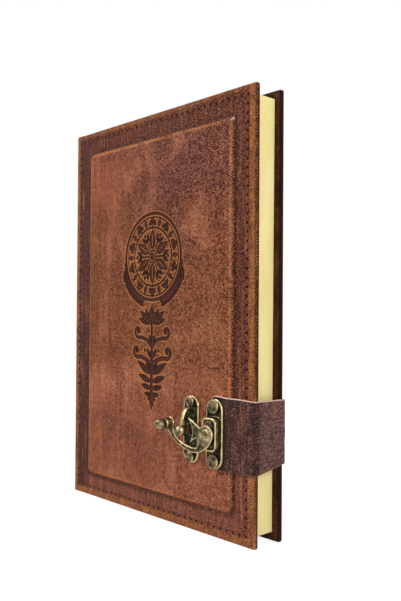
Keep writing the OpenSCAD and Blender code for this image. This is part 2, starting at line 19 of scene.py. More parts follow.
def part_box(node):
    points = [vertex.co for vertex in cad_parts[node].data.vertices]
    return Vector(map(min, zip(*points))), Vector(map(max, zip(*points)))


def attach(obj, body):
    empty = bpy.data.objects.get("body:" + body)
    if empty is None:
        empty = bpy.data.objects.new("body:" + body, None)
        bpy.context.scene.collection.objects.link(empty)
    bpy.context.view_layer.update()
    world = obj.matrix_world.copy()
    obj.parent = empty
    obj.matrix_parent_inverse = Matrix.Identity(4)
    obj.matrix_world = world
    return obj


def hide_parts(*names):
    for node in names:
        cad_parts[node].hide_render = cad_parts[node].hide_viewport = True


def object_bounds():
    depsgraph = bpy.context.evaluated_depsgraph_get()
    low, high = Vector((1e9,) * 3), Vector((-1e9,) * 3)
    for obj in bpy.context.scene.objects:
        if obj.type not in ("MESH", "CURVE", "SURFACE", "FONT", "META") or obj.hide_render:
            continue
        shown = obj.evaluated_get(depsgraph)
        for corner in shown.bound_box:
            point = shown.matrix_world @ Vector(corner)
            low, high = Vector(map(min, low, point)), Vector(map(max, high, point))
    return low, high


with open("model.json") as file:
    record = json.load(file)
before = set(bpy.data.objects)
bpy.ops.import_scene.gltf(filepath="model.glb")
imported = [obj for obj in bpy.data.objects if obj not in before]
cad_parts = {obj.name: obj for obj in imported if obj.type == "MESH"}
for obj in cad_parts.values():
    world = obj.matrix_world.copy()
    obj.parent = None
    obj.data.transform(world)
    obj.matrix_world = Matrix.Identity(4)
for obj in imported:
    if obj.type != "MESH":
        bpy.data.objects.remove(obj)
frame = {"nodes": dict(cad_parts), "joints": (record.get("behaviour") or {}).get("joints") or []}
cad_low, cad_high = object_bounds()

MM = 0.001
rng = np.random.default_rng(7)

# %% [markdown]
# ## Book millimetres
# A bookbinder measures from the spine, from the cover's face and from the tail, in
# millimetres. All pieces below are made in those numbers: x runs from the outside of the
# spine to the fore-edge, y from the front cover's border into the book, z up from the
# tail. One function turns finished points into metres in the frame's own place.

# %% Book millimetres
PANEL_H = 1.3
ORIGIN = np.array(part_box("cover_leather")[0]) / MM + np.array([0, PANEL_H, 0])

def book_box(node):
    low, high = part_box(node)
    return np.array(low) / MM - ORIGIN, np.array(high) / MM - ORIGIN

WIDTH, THICK, HEIGHT = book_box("cover_leather")[1]
block_low, block_high = book_box("page_block")
catch_low, catch_high = book_box("catch_plate")
base_low, base_high = book_box("hook_plate")
arm_high = book_box("swing_hook")[1]
PIVOT = np.array(frame["joints"][0]["pos_m"]) / MM - ORIGIN
print("book", np.round([WIDTH, THICK, HEIGHT], 1), "pivot", np.round(PIVOT, 1))

# %% [markdown]
# ## Camera
# The picture was taken at the height of the middle of the book, from in front of its
# fore-edge, so the front cover runs away to the left. The place, the turn and the lens
# come from a camera solved on the corners of the covers.

# %% Camera
LENS_PX, LONG_SIDE_PX, SENSOR_MM = 713.3, 601, 36.0
EYE = np.array([WIDTH + 217.2, -234.3, 106.0])
YAW, PITCH, ROLL = math.radians(47.30), math.radians(0.93), math.radians(0.38)

def make_camera():
    data = bpy.data.cameras.new("camera")
    data.sensor_width = SENSOR_MM
    data.lens = LENS_PX / LONG_SIDE_PX * SENSOR_MM
    data.clip_start, data.clip_end = 0.01, 20
    camera = bpy.data.objects.new("camera", data)
    camera.location = (EYE + ORIGIN) * MM
    turn = Matrix.Rotation(YAW, 4, "Z") @ Matrix.Rotation(math.pi / 2 + PITCH, 4, "X")
    camera.rotation_euler = (turn @ Matrix.Rotation(ROLL, 4, "Z")).to_euler()
    bpy.context.scene.collection.objects.link(camera)
    bpy.context.scene.camera = camera
    return camera

camera = make_camera()
print("lens", round(camera.data.lens, 2), "mm")

# %% [markdown]
# ## Floor and background
# The journal stands on a plain white sweep. The floor is an ordinary pale surface for
# light, so it takes a shadow, but what the camera sees of it is lifted to white. The sky
# is white for the camera and for reflections, and softer for lighting.

# %% Floor and background
FLOOR_HALF = 1.6
FLOOR_TONE, SEEN_TONE, SEEN_LIFT = 0.80, 0.30, 0.83
SKY_LIGHT = 0.62

def pick_by_ray(tree, plain, seen, output):
    """Shows `seen` to the camera, to mirrors and through glass, and `plain` to the rest."""
    path = tree.nodes.new("ShaderNodeLightPath")
    followed = path.outputs["Is Camera Ray"]
    for name in ("Is Glossy Ray", "Is Transmission Ray"):
        add = tree.nodes.new("ShaderNodeMath")
        add.operation, add.use_clamp = "ADD", True
        tree.links.new(followed, add.inputs[0])
        tree.links.new(path.outputs[name], add.inputs[1])
        followed = add.outputs[0]
    pick = tree.nodes.new("ShaderNodeMixShader")
    for socket, source in zip(pick.inputs, (followed, plain.outputs[0], seen.outputs[0])):
        tree.links.new(source, socket)
    tree.links.new(pick.outputs[0], tree.nodes.new(output).inputs[0])

def make_floor():
    level, s = cad_low[2], FLOOR_HALF
    mesh = bpy.data.meshes.new("floor")
    mesh.from_pydata([(-s, -s, level), (s, -s, level), (s, s, level), (-s, s, level)], [],
                     [(0, 1, 2, 3)])
    floor = bpy.data.objects.new("floor", mesh)
    bpy.context.scene.collection.objects.link(floor)
    material = bpy.data.materials.new("white_sweep")
    material.use_nodes = True
    tree = material.node_tree
    tree.nodes.clear()
    plain, matt = (tree.nodes.new("ShaderNodeBsdfDiffuse") for _ in range(2))
    plain.inputs["Color"].default_value = (FLOOR_TONE,) * 3 + (1,)
    matt.inputs["Color"].default_value = (SEEN_TONE,) * 3 + (1,)
    lift = tree.nodes.new("ShaderNodeEmission")
    lift.inputs["Strength"].default_value = SEEN_LIFT
    lifted = tree.nodes.new("ShaderNodeAddShader")
    tree.links.new(matt.outputs[0], lifted.inputs[0])
    tree.links.new(lift.outputs[0], lifted.inputs[1])
    pick_by_ray(tree, plain, lifted, "ShaderNodeOutputMaterial")
    mesh.materials.append(material)

def make_sky():
    world = bpy.data.worlds.new("soft_sky")
    world.use_nodes = True
    bpy.context.scene.world = world
    tree = world.node_tree
    tree.nodes.clear()
    light, seen = (tree.nodes.new("ShaderNodeBackground") for _ in range(2))
    for sky in (light, seen):
        sky.inputs["Color"].default_value = (1, 1, 1, 1)
    light.inputs["Strength"].default_value = SKY_LIGHT
    pick_by_ray(tree, light, seen, "ShaderNodeOutputWorld")

make_floor()
make_sky()
bpy.context.scene.view_settings.view_transform = "Standard"
print("sky light", SKY_LIGHT)

# %% [markdown]
# ## Lamps
# One large lamp high on the left in front shapes the panel: its upper and left slopes
# catch the light and the right one falls into shade. A weaker one on the right keeps the
# page edges and the strap clear.

# %% Lamps
LAMP_AIM = Vector((0, 0, 0.1))

def add_lamp(name, place, size, watts):
    data = bpy.data.lights.new(name, "AREA")
    data.shape, data.size, data.energy = "DISK", size, watts
    lamp = bpy.data.objects.new(name, data)
    lamp.location = place
    lamp.rotation_euler = (LAMP_AIM - Vector(place)).to_track_quat("-Z", "Y").to_euler()
    bpy.context.scene.collection.objects.link(lamp)

add_lamp("key", (-0.55, -0.75, 0.85), 0.35, 7.5)
add_lamp("fill", (0.9, -0.35, 0.45), 0.5, 4.5)

# %% [markdown]
# ## Mesh helpers
# A piece starts as a list of points in book millimetres and a list of faces. One helper
# makes the mesh and turns all its faces outwards, one stores a number at every point for
# the finish to read, and one hides the solids of the frame that the piece stands for and
# hangs the piece on its body.

# %% Piece helpers
def add_piece(name, points_mm, faces, smooth=True):
    mesh = bpy.data.meshes.new(name)
    points = (np.asarray(points_mm) + ORIGIN) * MM
    mesh.from_pydata([tuple(p) for p in points], [], faces)
    mesh.validate()
    work = bmesh.new()
    work.from_mesh(mesh)
    bmesh.ops.recalc_face_normals(work, faces=work.faces)
    work.to_mesh(mesh)
    work.free()
    mesh.polygons.foreach_set("use_smooth", [smooth] * len(mesh.polygons))
    piece = bpy.data.objects.new(name, mesh)
    bpy.context.scene.collection.objects.link(piece)
    return piece

def set_attribute(piece, name, values):
    layer = piece.data.attributes.new(name, "FLOAT", "POINT")
    layer.data.foreach_set("value", np.asarray(values, dtype=np.float32))

def sharpen(piece, degrees):
    """Shades edges that bend by more than so many degrees as sharp."""
    limit = math.radians(degrees)
    work = bmesh.new()
    work.from_mesh(piece.data)
    for edge in work.edges:
        if len(edge.link_faces) == 2 and edge.calc_face_angle(0) > limit:
            edge.smooth = False
    work.to_mesh(piece.data)
    work.free()

def place_piece(piece, body, slot, *nodes):
    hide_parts(*nodes)
    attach(piece, body)

print("piece helpers ready")

# %% [markdown]
# Most pieces are lofts: rows of points joined by faces. `loft` stacks outlines of the
# same count, and `lathe` turns a profile about the axis that stands out of the front
# cover, which is how a rivet or a knob is made in a real lathe.

# %% Loft helpers
def loft(rings, capped=True):
    """Points and faces between rings of equal count; each ring is a closed outline."""
    n = len(rings[0])
    faces = []
    for k in range(len(rings) - 1):
        a, b = k * n, (k + 1) * n
        faces += [(a + i, a + (i + 1) % n, b + (i + 1) % n, b + i) for i in range(n)]
    if capped:
        last = (len(rings) - 1) * n
        faces += [tuple(range(n))[::-1], tuple(range(last, last + n))]
    return np.concatenate(rings), faces

def lathe(profile, centre, count=48):
    """Turns (radius, height) pairs about the axis that points out of the front."""
    turn = np.linspace(0, 2 * math.pi, count, endpoint=False)
    rings = [np.stack([centre[0] + r * np.cos(turn), np.full(count, centre[1] - h),
                       centre[2] + r * np.sin(turn)], 1) for r, h in profile]
    return loft(rings)

def join_parts(parts):
    """Puts several (points, faces) shells into one list of points and faces."""
    points, faces, start = [], [], 0
    for shell, shell_faces in parts:
        points.append(shell)
        faces += [tuple(start + i for i in face) for face in shell_faces]
        start += len(shell)
    return np.concatenate(points), faces

def smooth_step(value):
    t = np.clip(value, 0, 1)
    return t * t * (3 - 2 * t)

print("loft helpers ready")

# %% [markdown]
# ## Finish helper
# A finish is a Principled surface with a few nodes in front of it. `Wiring` does the
# sums: each method adds one node and gives back its output, so a formula reads like a
# formula. Positions come in book millimetres, so a grain size of 1.4 really is 1.4 mm.

# %% Wiring helper
class Wiring:
    def __init__(self, name):
        self.material = bpy.data.materials.new(name)
        self.material.use_nodes = True
        self.nodes, self.links = self.material.node_tree.nodes, self.material.node_tree.links
        self.nodes.clear()
        coords, place = self.nodes.new("ShaderNodeTexCoord"), self.nodes.new("ShaderNodeMapping")
        place.inputs["Scale"].default_value = (1 / MM,) * 3
        place.inputs["Location"].default_value = tuple(-ORIGIN)
        self.links.new(coords.outputs["Object"], place.inputs["Vector"])
        self.place = place.outputs[0]

    def put(self, socket, value):
        if isinstance(value, bpy.types.NodeSocket):
            self.links.new(value, socket)
        else:
            socket.default_value = value

    def math(self, operation, a, b=0.0, c=0.0):
        node = self.nodes.new("ShaderNodeMath")
        node.operation = operation
        for socket, value in zip(node.inputs, (a, b, c)):
            self.put(socket, value)
        return node.outputs[0]

    def plus(self, a, b):
        return self.math("ADD", a, b)

    def minus(self, a, b):
        return self.math("SUBTRACT", a, b)

    def times(self, a, b):
        return self.math("MULTIPLY", a, b)

    def most(self, a, b):
        return self.math("MAXIMUM", a, b)

    def distance(self, a, b):
        return self.math("SQRT", self.plus(self.times(a, a), self.times(b, b)))

    def spread(self, value, low, high, to_low=0.0, to_high=1.0):
        """Maps low..high to to_low..to_high, smoothly and without going past."""
        node = self.nodes.new("ShaderNodeMapRange")
        node.interpolation_type = "SMOOTHSTEP"
        for socket, v in zip(node.inputs, (value, low, high, to_low, to_high)):
            self.put(socket, v)
        return node.outputs[0]

    def axis(self, name):
        node = self.nodes.new("ShaderNodeSeparateXYZ")
        self.links.new(self.place, node.inputs[0])
        return node.outputs[name]

    def attribute(self, name):
        node = self.nodes.new("ShaderNodeAttribute")
        node.attribute_name = name
        return node.outputs["Fac"]

print("wiring helper ready")

# %% [markdown]
# `Finish` adds what a surface needs on top: noise and waves of a known size, colours
# written as seen on screen, and bumps whose height is in millimetres.

# %% Finish helper
def seen_colour(red, green, blue):
    """An 8-bit screen colour as the linear values that nodes use."""
    return tuple(v / 12.92 if v <= 0.04045 else ((v + 0.055) / 1.055) ** 2.4
                 for v in (red / 255, green / 255, blue / 255)) + (1.0,)

class Finish(Wiring):
    def __init__(self, name, **constants):
        super().__init__(name)
        self.surface = self.nodes.new("ShaderNodeBsdfPrincipled")
        out = self.nodes.new("ShaderNodeOutputMaterial")
        self.links.new(self.surface.outputs[0], out.inputs[0])
        for socket, value in constants.items():
            self.surface.inputs[socket.replace("_", " ")].default_value = value

    def stretched(self, x=1.0, y=1.0, z=1.0, turn=0.0):
        node = self.nodes.new("ShaderNodeMapping")
        node.inputs["Scale"].default_value = (x, y, z)
        node.inputs["Rotation"].default_value = (0, turn, 0)
        self.links.new(self.place, node.inputs["Vector"])
        return node.outputs[0]

    def texture(self, kind, where, **settings):
        node = self.nodes.new("ShaderNodeTex" + kind)
        for socket, value in settings.items():
            node.inputs[socket.replace("_", " ")].default_value = value
        self.links.new(where or self.place, node.inputs["Vector"])
        return node

    def noise(self, size_mm, detail=2.0, rough=0.5, warp=0.0, where=None):
        return self.texture("Noise", where, Scale=1 / size_mm, Detail=detail, Roughness=rough,
                            Distortion=warp).outputs["Fac"]

    def wrinkles(self, apart_mm, bend_mm, sway, where=None):
        """Wavy lines apart_mm from each other, which sway along bend_mm patches."""
        scale = 2 * math.pi / (20 * apart_mm)
        node = self.texture("Wave", where, Scale=scale, Distortion=sway, Detail=2.0,
                            Detail_Scale=1 / (bend_mm * scale), Detail_Roughness=0.5)
        node.wave_type, node.bands_direction = "BANDS", "Z"
        return node.outputs["Fac"]

    def ramp(self, value, *stops):
        node = self.nodes.new("ShaderNodeValToRGB")
        ramp = node.color_ramp
        while len(ramp.elements) < len(stops):
            ramp.elements.new(0.5)
        for element, (at, colour) in zip(ramp.elements, stops):
            element.position, element.color = at, colour
        self.links.new(value, node.inputs[0])
        return node.outputs["Color"]

    def mix(self, a, b, amount):
        node = self.nodes.new("ShaderNodeMix")
        node.data_type = "RGBA"
        for socket, value in ((0, amount), (6, a), (7, b)):
            self.put(node.inputs[socket], value)
        return node.outputs[2]

    def bump(self, height, depth_mm, below=None):
        node = self.nodes.new("ShaderNodeBump")
        node.inputs["Distance"].default_value = depth_mm * MM
        node.inputs["Strength"].default_value = 1.0
        self.links.new(height, node.inputs["Height"])
        if below is not None:
            self.links.new(below, node.inputs["Normal"])
        self.links.new(node.outputs[0], self.surface.inputs["Normal"])
        return node.outputs[0]

    def colour(self, value):
        self.put(self.surface.inputs["Base Color"], value)

    def roughness(self, value):
        self.put(self.surface.inputs["Roughness"], value)

print("finish helper ready")

# %% [markdown]
# ## The pressed centrepiece
# A binder presses an ornament into damp leather with a heated brass plate. The face here
# is a round medallion of rings, a band of small leaves and beads, and a six-petalled
# flower, over a pendant of scrolls and leaves. It is drawn as distances: how far a point
# of the cover lies inside a stroke, leaf or ring. The same drawing later sets both the
# depth of the mesh and the dark colour of the pressed leather.

# %% Strokes, leaves and rings
MEDAL_Z, MEDAL_R = 134.7, 23.3
PENDANT_LOW = 55.0

def polar(radius, angle):
    return radius * math.cos(angle), radius * math.sin(angle)

def ring_of(u, v, radius, half):
    return half - np.abs(np.hypot(u, v) - radius)

def bead_of(u, v, cu, cv, radius):
    return radius - np.hypot(u - cu, v - cv)

def stroke_of(u, v, path, start, end):
    """A line through path that narrows from half-width start to end."""
    best = np.full(u.shape, -9.0)
    steps = len(path) - 1
    for k in range(steps):
        (ax, az), (bx, bz) = path[k], path[k + 1]
        dx, dz = bx - ax, bz - az
        t = np.clip(((u - ax) * dx + (v - az) * dz) / (dx * dx + dz * dz), 0, 1)
        half = start + (end - start) * (k + t) / steps
        best = np.maximum(best, half - np.hypot(u - ax - t * dx, v - az - t * dz))
    return best

def leaf_of(u, v, cu, cv, angle, length, width, rib):
    """A pointed leaf that starts at (cu, cv), with its middle rib left standing."""
    c, s = math.cos(angle), math.sin(angle)
    along, across = (u - cu) * c + (v - cv) * s, -(u - cu) * s + (v - cv) * c
    t = np.clip(along / length, 0.001, 0.999)
    half = width / 2 * np.sin(math.pi * t ** 0.8) ** 0.9
    inside = np.minimum(half - np.abs(across), np.minimum(along, length - along))
    veined = (t > 0.14) & (t < 0.74) & (rib > 0)
    return np.where(veined, np.minimum(inside, np.abs(across) - rib / 2), inside)

print("strokes, leaves and rings ready")

# %% [markdown]
# The medallion has ten leaf tufts with beads between them in its outer band, and six
# petals with six stalks inside. Numbers are millimetres from its centre.

# %% Medallion drawing
def medallion_drawing(u, v):
    drawn = [ring_of(u, v, MEDAL_R - 0.75, 0.75), ring_of(u, v, MEDAL_R - 2.7, 0.3),
             ring_of(u, v, 15.2, 0.4), bead_of(u, v, 0, 0, 2.0), ring_of(u, v, 3.0, 0.3)]
    for k in range(0, 20, 2):
        a = k * math.pi / 10
        drawn.append(leaf_of(u, v, *polar(15.9, a), a, 4.5, 2.7, 0))
        for side in (-0.15, 0.15):
            drawn.append(leaf_of(u, v, *polar(16.2, a + side), a + side * 4.2, 3.6, 1.5, 0))
        cu, cv = polar(18.1, (k + 1) * math.pi / 10)
        drawn += [bead_of(u, v, cu, cv, 1.0), ring_of(u - cu, v - cv, 1.7, 0.25)]
    for k in range(6):
        a = math.pi / 2 + k * math.pi / 3
        drawn.append(leaf_of(u, v, *polar(3.6, a), a, 10.8, 5.2, 0.6))
        b = a + math.pi / 6
        drawn.append(stroke_of(u, v, [polar(3.6, b), polar(9.4, b)], 0.35, 0.5))
        drawn += [leaf_of(u, v, *polar(8.4, b), b + side * 0.62, 5.6, 2.1, 0.3)
                  for side in (-1, 1)]
        drawn.append(bead_of(u, v, *polar(12.6, b), 0.95))
    return drawn

def side_leaves_drawing(u, v):
    """Long curled leaves that carry the medallion, drawn for the right side."""
    drawn = []
    for k in range(6):
        a = math.radians(-14 - 9.5 * k)
        drawn.append(leaf_of(u, v, *polar(24.0 + 0.25 * k, a), a - 1.15 - 0.06 * k,
                             7.4 - 0.2 * k, 3.2, 0.35))
    rim = [polar(24.0, math.radians(d)) for d in range(-6, -74, -6)]
    drawn.append(stroke_of(u, v, rim, 0.3, 1.1))
    return drawn

print("medallion", 2 * MEDAL_R, "mm across")

# %% [markdown]
# Scrolls and leaves hang under the medallion on one stem. Only the right half is drawn;
# the left half is the same drawing read at the mirrored place.

# %% Pendant drawing
def scroll_from(u, v, stem, centre, radius, thick):
    """A stem that ends in a curled scroll with a bead at its eye."""
    t = np.linspace(0, 1, 26)
    r, a = radius * 0.22 ** t, -1.9 + 2.4 * math.pi * t
    curl = list(zip(centre[0] + r * np.cos(a), centre[1] + r * np.sin(a)))
    return [stroke_of(u, v, stem + curl, thick, 0.4), bead_of(u, v, *centre, radius * 0.27)]

def pendant_drawing(u, v):
    """The right half of the scrolls and leaves under the medallion."""
    low = PENDANT_LOW - MEDAL_Z
    drawn = [stroke_of(u, v, [(0, -25), (0, -40), (0, -60), (0, low + 5)], 0.6, 1.3),
             leaf_of(u, v, 0, -34.5, math.pi / 2, 9.4, 5.0, 0.6)]
    for angle, length, width in ((1.08, 9.4, 3.2), (0.66, 11.4, 3.6), (0.26, 10.6, 3.2)):
        drawn.append(leaf_of(u, v, 1.2, -35.0, angle, length, width, 0.45))
    for stem, centre, thick in (
            ([(0.5, -46.5), (4.0, -43.4), (8.6, -42.2)], (11.4, -38.9), 1.0),
            ([(0.6, -55.5), (4.6, -53.6), (9.4, -52.4)], (12.6, -49.2), 1.1)):
        drawn += scroll_from(u, v, stem, centre, 3.6, thick)
    for z, angle, length, width in ((-52.8, 1.02, 6.4, 2.4), (-44.6, 1.15, 4.6, 1.9),
                                    (-61.0, 0.50, 13.2, 4.0), (-65.0, 0.30, 10.8, 3.5),
                                    (-68.6, 0.20, 8.2, 3.0), (-71.8, 0.08, 5.6, 2.4),
                                    (-59.0, 0.95, 8.0, 2.6)):
        drawn.append(leaf_of(u, v, 0.8, z, angle, length, width, 0.4))
    drawn += [bead_of(u, v, 8.4, -57.6, 1.0), bead_of(u, v, 5.6, -48.9, 0.9)]
    drawn.append(leaf_of(u, v, 0, low + 8.5, -math.pi / 2, 8.5, 3.6, 0.35))
    drawn.append(leaf_of(u, v, 0.4, low + 8.6, -0.95, 5.0, 1.9, 0))
    return drawn

def centrepiece(x, z):
    """Distance inside the drawing in millimetres, negative outside it."""
    u, v = x - PANEL_MID, z - MEDAL_Z
    inside = np.full(u.shape, -1.0)
    near = (np.abs(u) < 30) & (v > PENDANT_LOW - MEDAL_Z - 1) & (v < MEDAL_R + 1)
    un, vn = u[near], v[near]
    drawn = medallion_drawing(un, vn)
    drawn += side_leaves_drawing(np.abs(un), vn) + pendant_drawing(np.abs(un), vn)
    inside[near] = np.clip(np.max(drawn, axis=0), -1, 2)
    return inside

print("centrepiece is", MEDAL_Z + MEDAL_R - PENDANT_LOW, "mm tall")

# %% [markdown]
# ## The leather case
# The covers and spine are one piece of leather, pulled over the boards and a raised card,
# then sewn near its edges. The mesh is a stack of rows up the book. Each row is one
# closed loop in plan: along the front, round the spine, along the back and home again on
# the inside. Lines lie close together where the surface turns sharply and far apart
# where it is flat, which keeps a fine ornament affordable.

# %% Measures of the case
COVER_T, LEATHER_T = 2.2, 0.6
SPINE_R, HINGE_X, EDGE_R, CORNER_R = 4.2, 8.2, 0.8, 1.1
PANEL_X0, PANEL_X1 = 17.5, WIDTH - 14.1
PANEL_Z0, PANEL_Z1 = 13.0, HEIGHT - 13.0
PANEL_CORNER = 3.5
PANEL_MID = (PANEL_X0 + PANEL_X1) / 2
ROW_X0, ROW_X1, ROW_Z0, ROW_Z1 = 6.3, WIDTH - 5.8, 4.8, HEIGHT - 4.8
STITCH_PITCH = 4.15

def lines(*stops):
    """Even steps between stops; each stop is (value, wanted step up to the next one)."""
    found = []
    for (a, step), (b, _) in zip(stops, stops[1:]):
        count = max(1, int(round(abs(b - a) / step)))
        found += list(np.linspace(a, b, count, endpoint=False))
    return np.array(found + [stops[-1][0]])

def rim_distance(x, z, x0, z0, x1, z1, corner):
    """Distance inside a rectangle with round corners, negative outside."""
    qx = np.abs(x - (x0 + x1) / 2) - (x1 - x0) / 2 + corner
    qz = np.abs(z - (z0 + z1) / 2) - (z1 - z0) / 2 + corner
    outer = np.hypot(np.maximum(qx, 0), np.maximum(qz, 0))
    return corner - outer - np.minimum(np.maximum(qx, qz), 0)

def hole_rows(x0, z0, x1, z1, pitch):
    """Where the needle went through: both ends of every stitch of a closed row."""
    nx, nz = round((x1 - x0) / pitch), round((z1 - z0) / pitch)
    holes = [(x, z) for z in (z0, z1) for x in np.linspace(x0, x1, nx + 1)]
    holes += [(x, z) for x in (x0, x1) for z in np.linspace(z0, z1, nz + 1)[1:-1]]
    return np.array(holes)

COVER_HOLES = hole_rows(ROW_X0, ROW_Z0, ROW_X1, ROW_Z1, STITCH_PITCH)

HOLE_REACH = 0.55

def near_holes(x, z):
    """1 at a needle hole, falling to 0 a millimetre away."""
    amount = np.zeros(x.shape)
    for hx, hz in COVER_HOLES:
        close = (np.abs(x - hx) < 2) & (np.abs(z - hz) < 2)
        d = np.hypot(x[close] - hx, z[close] - hz)
        amount[close] = np.maximum(amount[close], np.exp(-(d / HOLE_REACH) ** 2))
    return amount

print(len(COVER_HOLES), "needle holes round a cover")

# %% [markdown]
# The height of the front is a sum of small causes: the card under the panel, a slight
# fullness between edge and stitches, the groove that the thread pulls, its needle holes,
# the press marks and a slow unevenness of the hide.

# %% Relief of the covers
GROOVE, HOLE_DEEP, PRESS_DEEP, PUFF = 0.26, 0.22, 0.5, 0.12
SLOPE = 1.9

def slow_waves(x, z):
    return (0.030 * np.sin(x / 9.1 + 0.7) * np.sin(z / 13.3 + 1.9)
            + 0.022 * np.sin(x / 4.7 + z / 21.0) + 0.018 * np.sin(z / 6.1 - x / 17.0 + 0.4))

def sewn_relief(x, z):
    inside = rim_distance(x, z, ROW_X0, ROW_Z0, ROW_X1, ROW_Z1, 0.6)
    groove = np.exp(-(inside / 0.62) ** 2)
    fullness = smooth_step((-inside - 0.4) / 2.2) * PUFF
    return fullness - GROOVE * groove - HOLE_DEEP * near_holes(x, z)

def front_relief(x, z):
    inside = rim_distance(x, z, PANEL_X0, PANEL_Z0, PANEL_X1, PANEL_Z1, PANEL_CORNER)
    raised = (PANEL_H - 0.02) * smooth_step((inside + 0.5) / SLOPE)
    foot = np.exp(-((inside + 0.9) / 0.9) ** 2)
    pressed = centrepiece(x, z)
    sunk = smooth_step(pressed / 0.36 + 0.5)
    height = raised + sewn_relief(x, z) - 0.10 * foot - PRESS_DEEP * sunk
    return np.minimum(height + slow_waves(x, z), PANEL_H), inside, pressed

def back_relief(x, z):
    return sewn_relief(x, z) + slow_waves(x + 40, z)

print("panel stands", PANEL_H, "mm up, press marks are", PRESS_DEEP, "mm deep")

# %% [markdown]
# Now the loops. The front and the rolled fore-edge use every row, and the back uses one
# row in a few, joined to the front by many-sided faces in the flat of the spine and on
# the inside, where they can't be seen.

# %% Rows and columns
def arc(cx, cy, r, start, end, count):
    a = np.radians(np.linspace(start, end, count))
    return np.stack([cx + r * np.cos(a), cy + r * np.sin(a)], 1)

fore = WIDTH - EDGE_R
front_x = lines((fore, 0.9), (ROW_X1 + 1.7, 0.34), (ROW_X1 - 1.7, 0.9),
                (PANEL_X1 + 1.3, 0.34), (PANEL_X1 - 2.2, 2.2), (PANEL_MID + 30, 0.44),
                (PANEL_MID - 30, 2.2), (PANEL_X0 + 2.2, 0.34), (PANEL_X0 - 1.3, 0.9),
                (ROW_X0 + 1.7, 0.34), (ROW_X0 - 1.7, 0.3), (SPINE_R, 0.3))
back_x = lines((SPINE_R, 0.3), (ROW_X0 - 1.7, 0.4), (ROW_X0 + 1.7, 3.2),
               (ROW_X1 - 1.7, 0.4), (ROW_X1 + 1.7, 0.9), (fore, 1))
tail_rows = [(EDGE_R * (1 - math.sin(t)), EDGE_R * (1 - math.cos(t)))
             for t in np.linspace(math.pi / 2, 0, 6)]
body_z = lines((EDGE_R, 0.8), (ROW_Z0 - 1.7, 0.34), (ROW_Z0 + 1.7, 0.9),
               (PANEL_Z0 - 1.3, 0.34), (PANEL_Z0 + 2.2, 2.0), (PENDANT_LOW - 1, 0.46),
               (MEDAL_Z + MEDAL_R + 1, 2.2), (PANEL_Z1 - 2.2, 0.34), (PANEL_Z1 + 1.3, 0.9),
               (ROW_Z1 - 1.7, 0.34), (ROW_Z1 + 1.7, 0.8), (HEIGHT - EDGE_R, 1))
tail_z, tail_in = np.array(tail_rows).T
row_z = np.concatenate([tail_z, body_z[1:-1], HEIGHT - tail_z[::-1]])
row_in = np.concatenate([tail_in, np.zeros(len(body_z) - 2), tail_in[::-1]])
few = sorted(set(range(6)) | set(range(len(row_z) - 6, len(row_z)))
             | {i for i in range(6, len(row_z) - 6)
                if row_z[i] < 7 or row_z[i] > HEIGHT - 7 or i % 5 == 0})
print("columns", len(front_x), "rows", len(row_z), "of which", len(few), "behind")

# %% [markdown]
# Each plan point carries the way in which it sinks where the head and tail edges are
# rolled, and how far. Thin leather at the hinge sinks less than the boarded covers.

# %% Plan of the case
def plan_points(points, sink, amount, kind):
    points = np.atleast_2d(points)
    sink = np.broadcast_to(np.asarray(sink, float), points.shape)
    return [(p[0], p[1], s[0], s[1], amount, kind) for p, s in zip(points, sink)]

def pairs(xs, y):
    return np.stack([np.asarray(xs, float), np.full(len(xs), y)], 1)

def outward(points, cx, cy):
    d = points - np.array([cx, cy])
    return -d / np.linalg.norm(d, axis=1, keepdims=True)

THIN = 0.3
corner_in = arc(fore, COVER_T - EDGE_R, EDGE_R, 90, 0, 5)
corner_out = arc(fore, EDGE_R, EDGE_R, 0, -90, 5)[:-1]
spine_front = arc(SPINE_R, SPINE_R, SPINE_R, -90, -180, 9)[1:]
spine_back = arc(SPINE_R, THICK - SPINE_R, SPINE_R, 180, 90, 9)
halfway = THICK / 2
dense = (plan_points(corner_in, outward(corner_in, fore, COVER_T / 2), 1, 0)
         + plan_points(corner_out, outward(corner_out, fore, COVER_T / 2), 1, 0)
         + plan_points(pairs(front_x, 0.0), (0, 1), 1, 1)
         + plan_points(spine_front, outward(spine_front, SPINE_R, SPINE_R), THIN, 0)
         + plan_points([(0, y) for y in np.linspace(SPINE_R, halfway, 4)[1:]], (1, 0), THIN, 0))

back_out = arc(fore, THICK - EDGE_R, EDGE_R, 90, 0, 5)[1:]
back_in = arc(fore, THICK - COVER_T + EDGE_R, EDGE_R, 0, -90, 5)
inner_r = SPINE_R - LEATHER_T
inner_back = arc(SPINE_R, THICK - SPINE_R, inner_r, 90, 180, 7)
inner_front = arc(SPINE_R, SPINE_R, inner_r, 180, 270, 7)
side_in = lines((fore, 12), (HINGE_X, 1))[1:]
sparse = (plan_points([(0, y) for y in np.linspace(halfway, THICK - SPINE_R, 4)[1:-1]],
                      (1, 0), THIN, 0)
          + plan_points(spine_back, outward(spine_back, SPINE_R, THICK - SPINE_R), THIN, 0)
          + plan_points(pairs(back_x[1:], THICK), (0, -1), 1, 2)
          + plan_points(back_out, outward(back_out, fore, THICK - COVER_T / 2), 1, 0)
          + plan_points(back_in, outward(back_in, fore, THICK - COVER_T / 2), 1, 0)
          + plan_points(pairs(side_in, THICK - COVER_T), (0, 1), 1, 0)
          + plan_points([(HINGE_X - 0.1, THICK - LEATHER_T)], (0, 1), THIN, 0)
          + plan_points(inner_back, -outward(inner_back, SPINE_R, THICK - SPINE_R), THIN, 0)
          + plan_points(inner_front, -outward(inner_front, SPINE_R, SPINE_R), THIN, 0)
          + plan_points([(HINGE_X - 0.1, LEATHER_T)], (0, -1), THIN, 0)
          + plan_points(pairs(side_in[::-1], COVER_T), (0, -1), 1, 0))
dense, sparse = np.array(dense), np.array(sparse)
print("plan points", len(dense), "in front and", len(sparse), "behind")

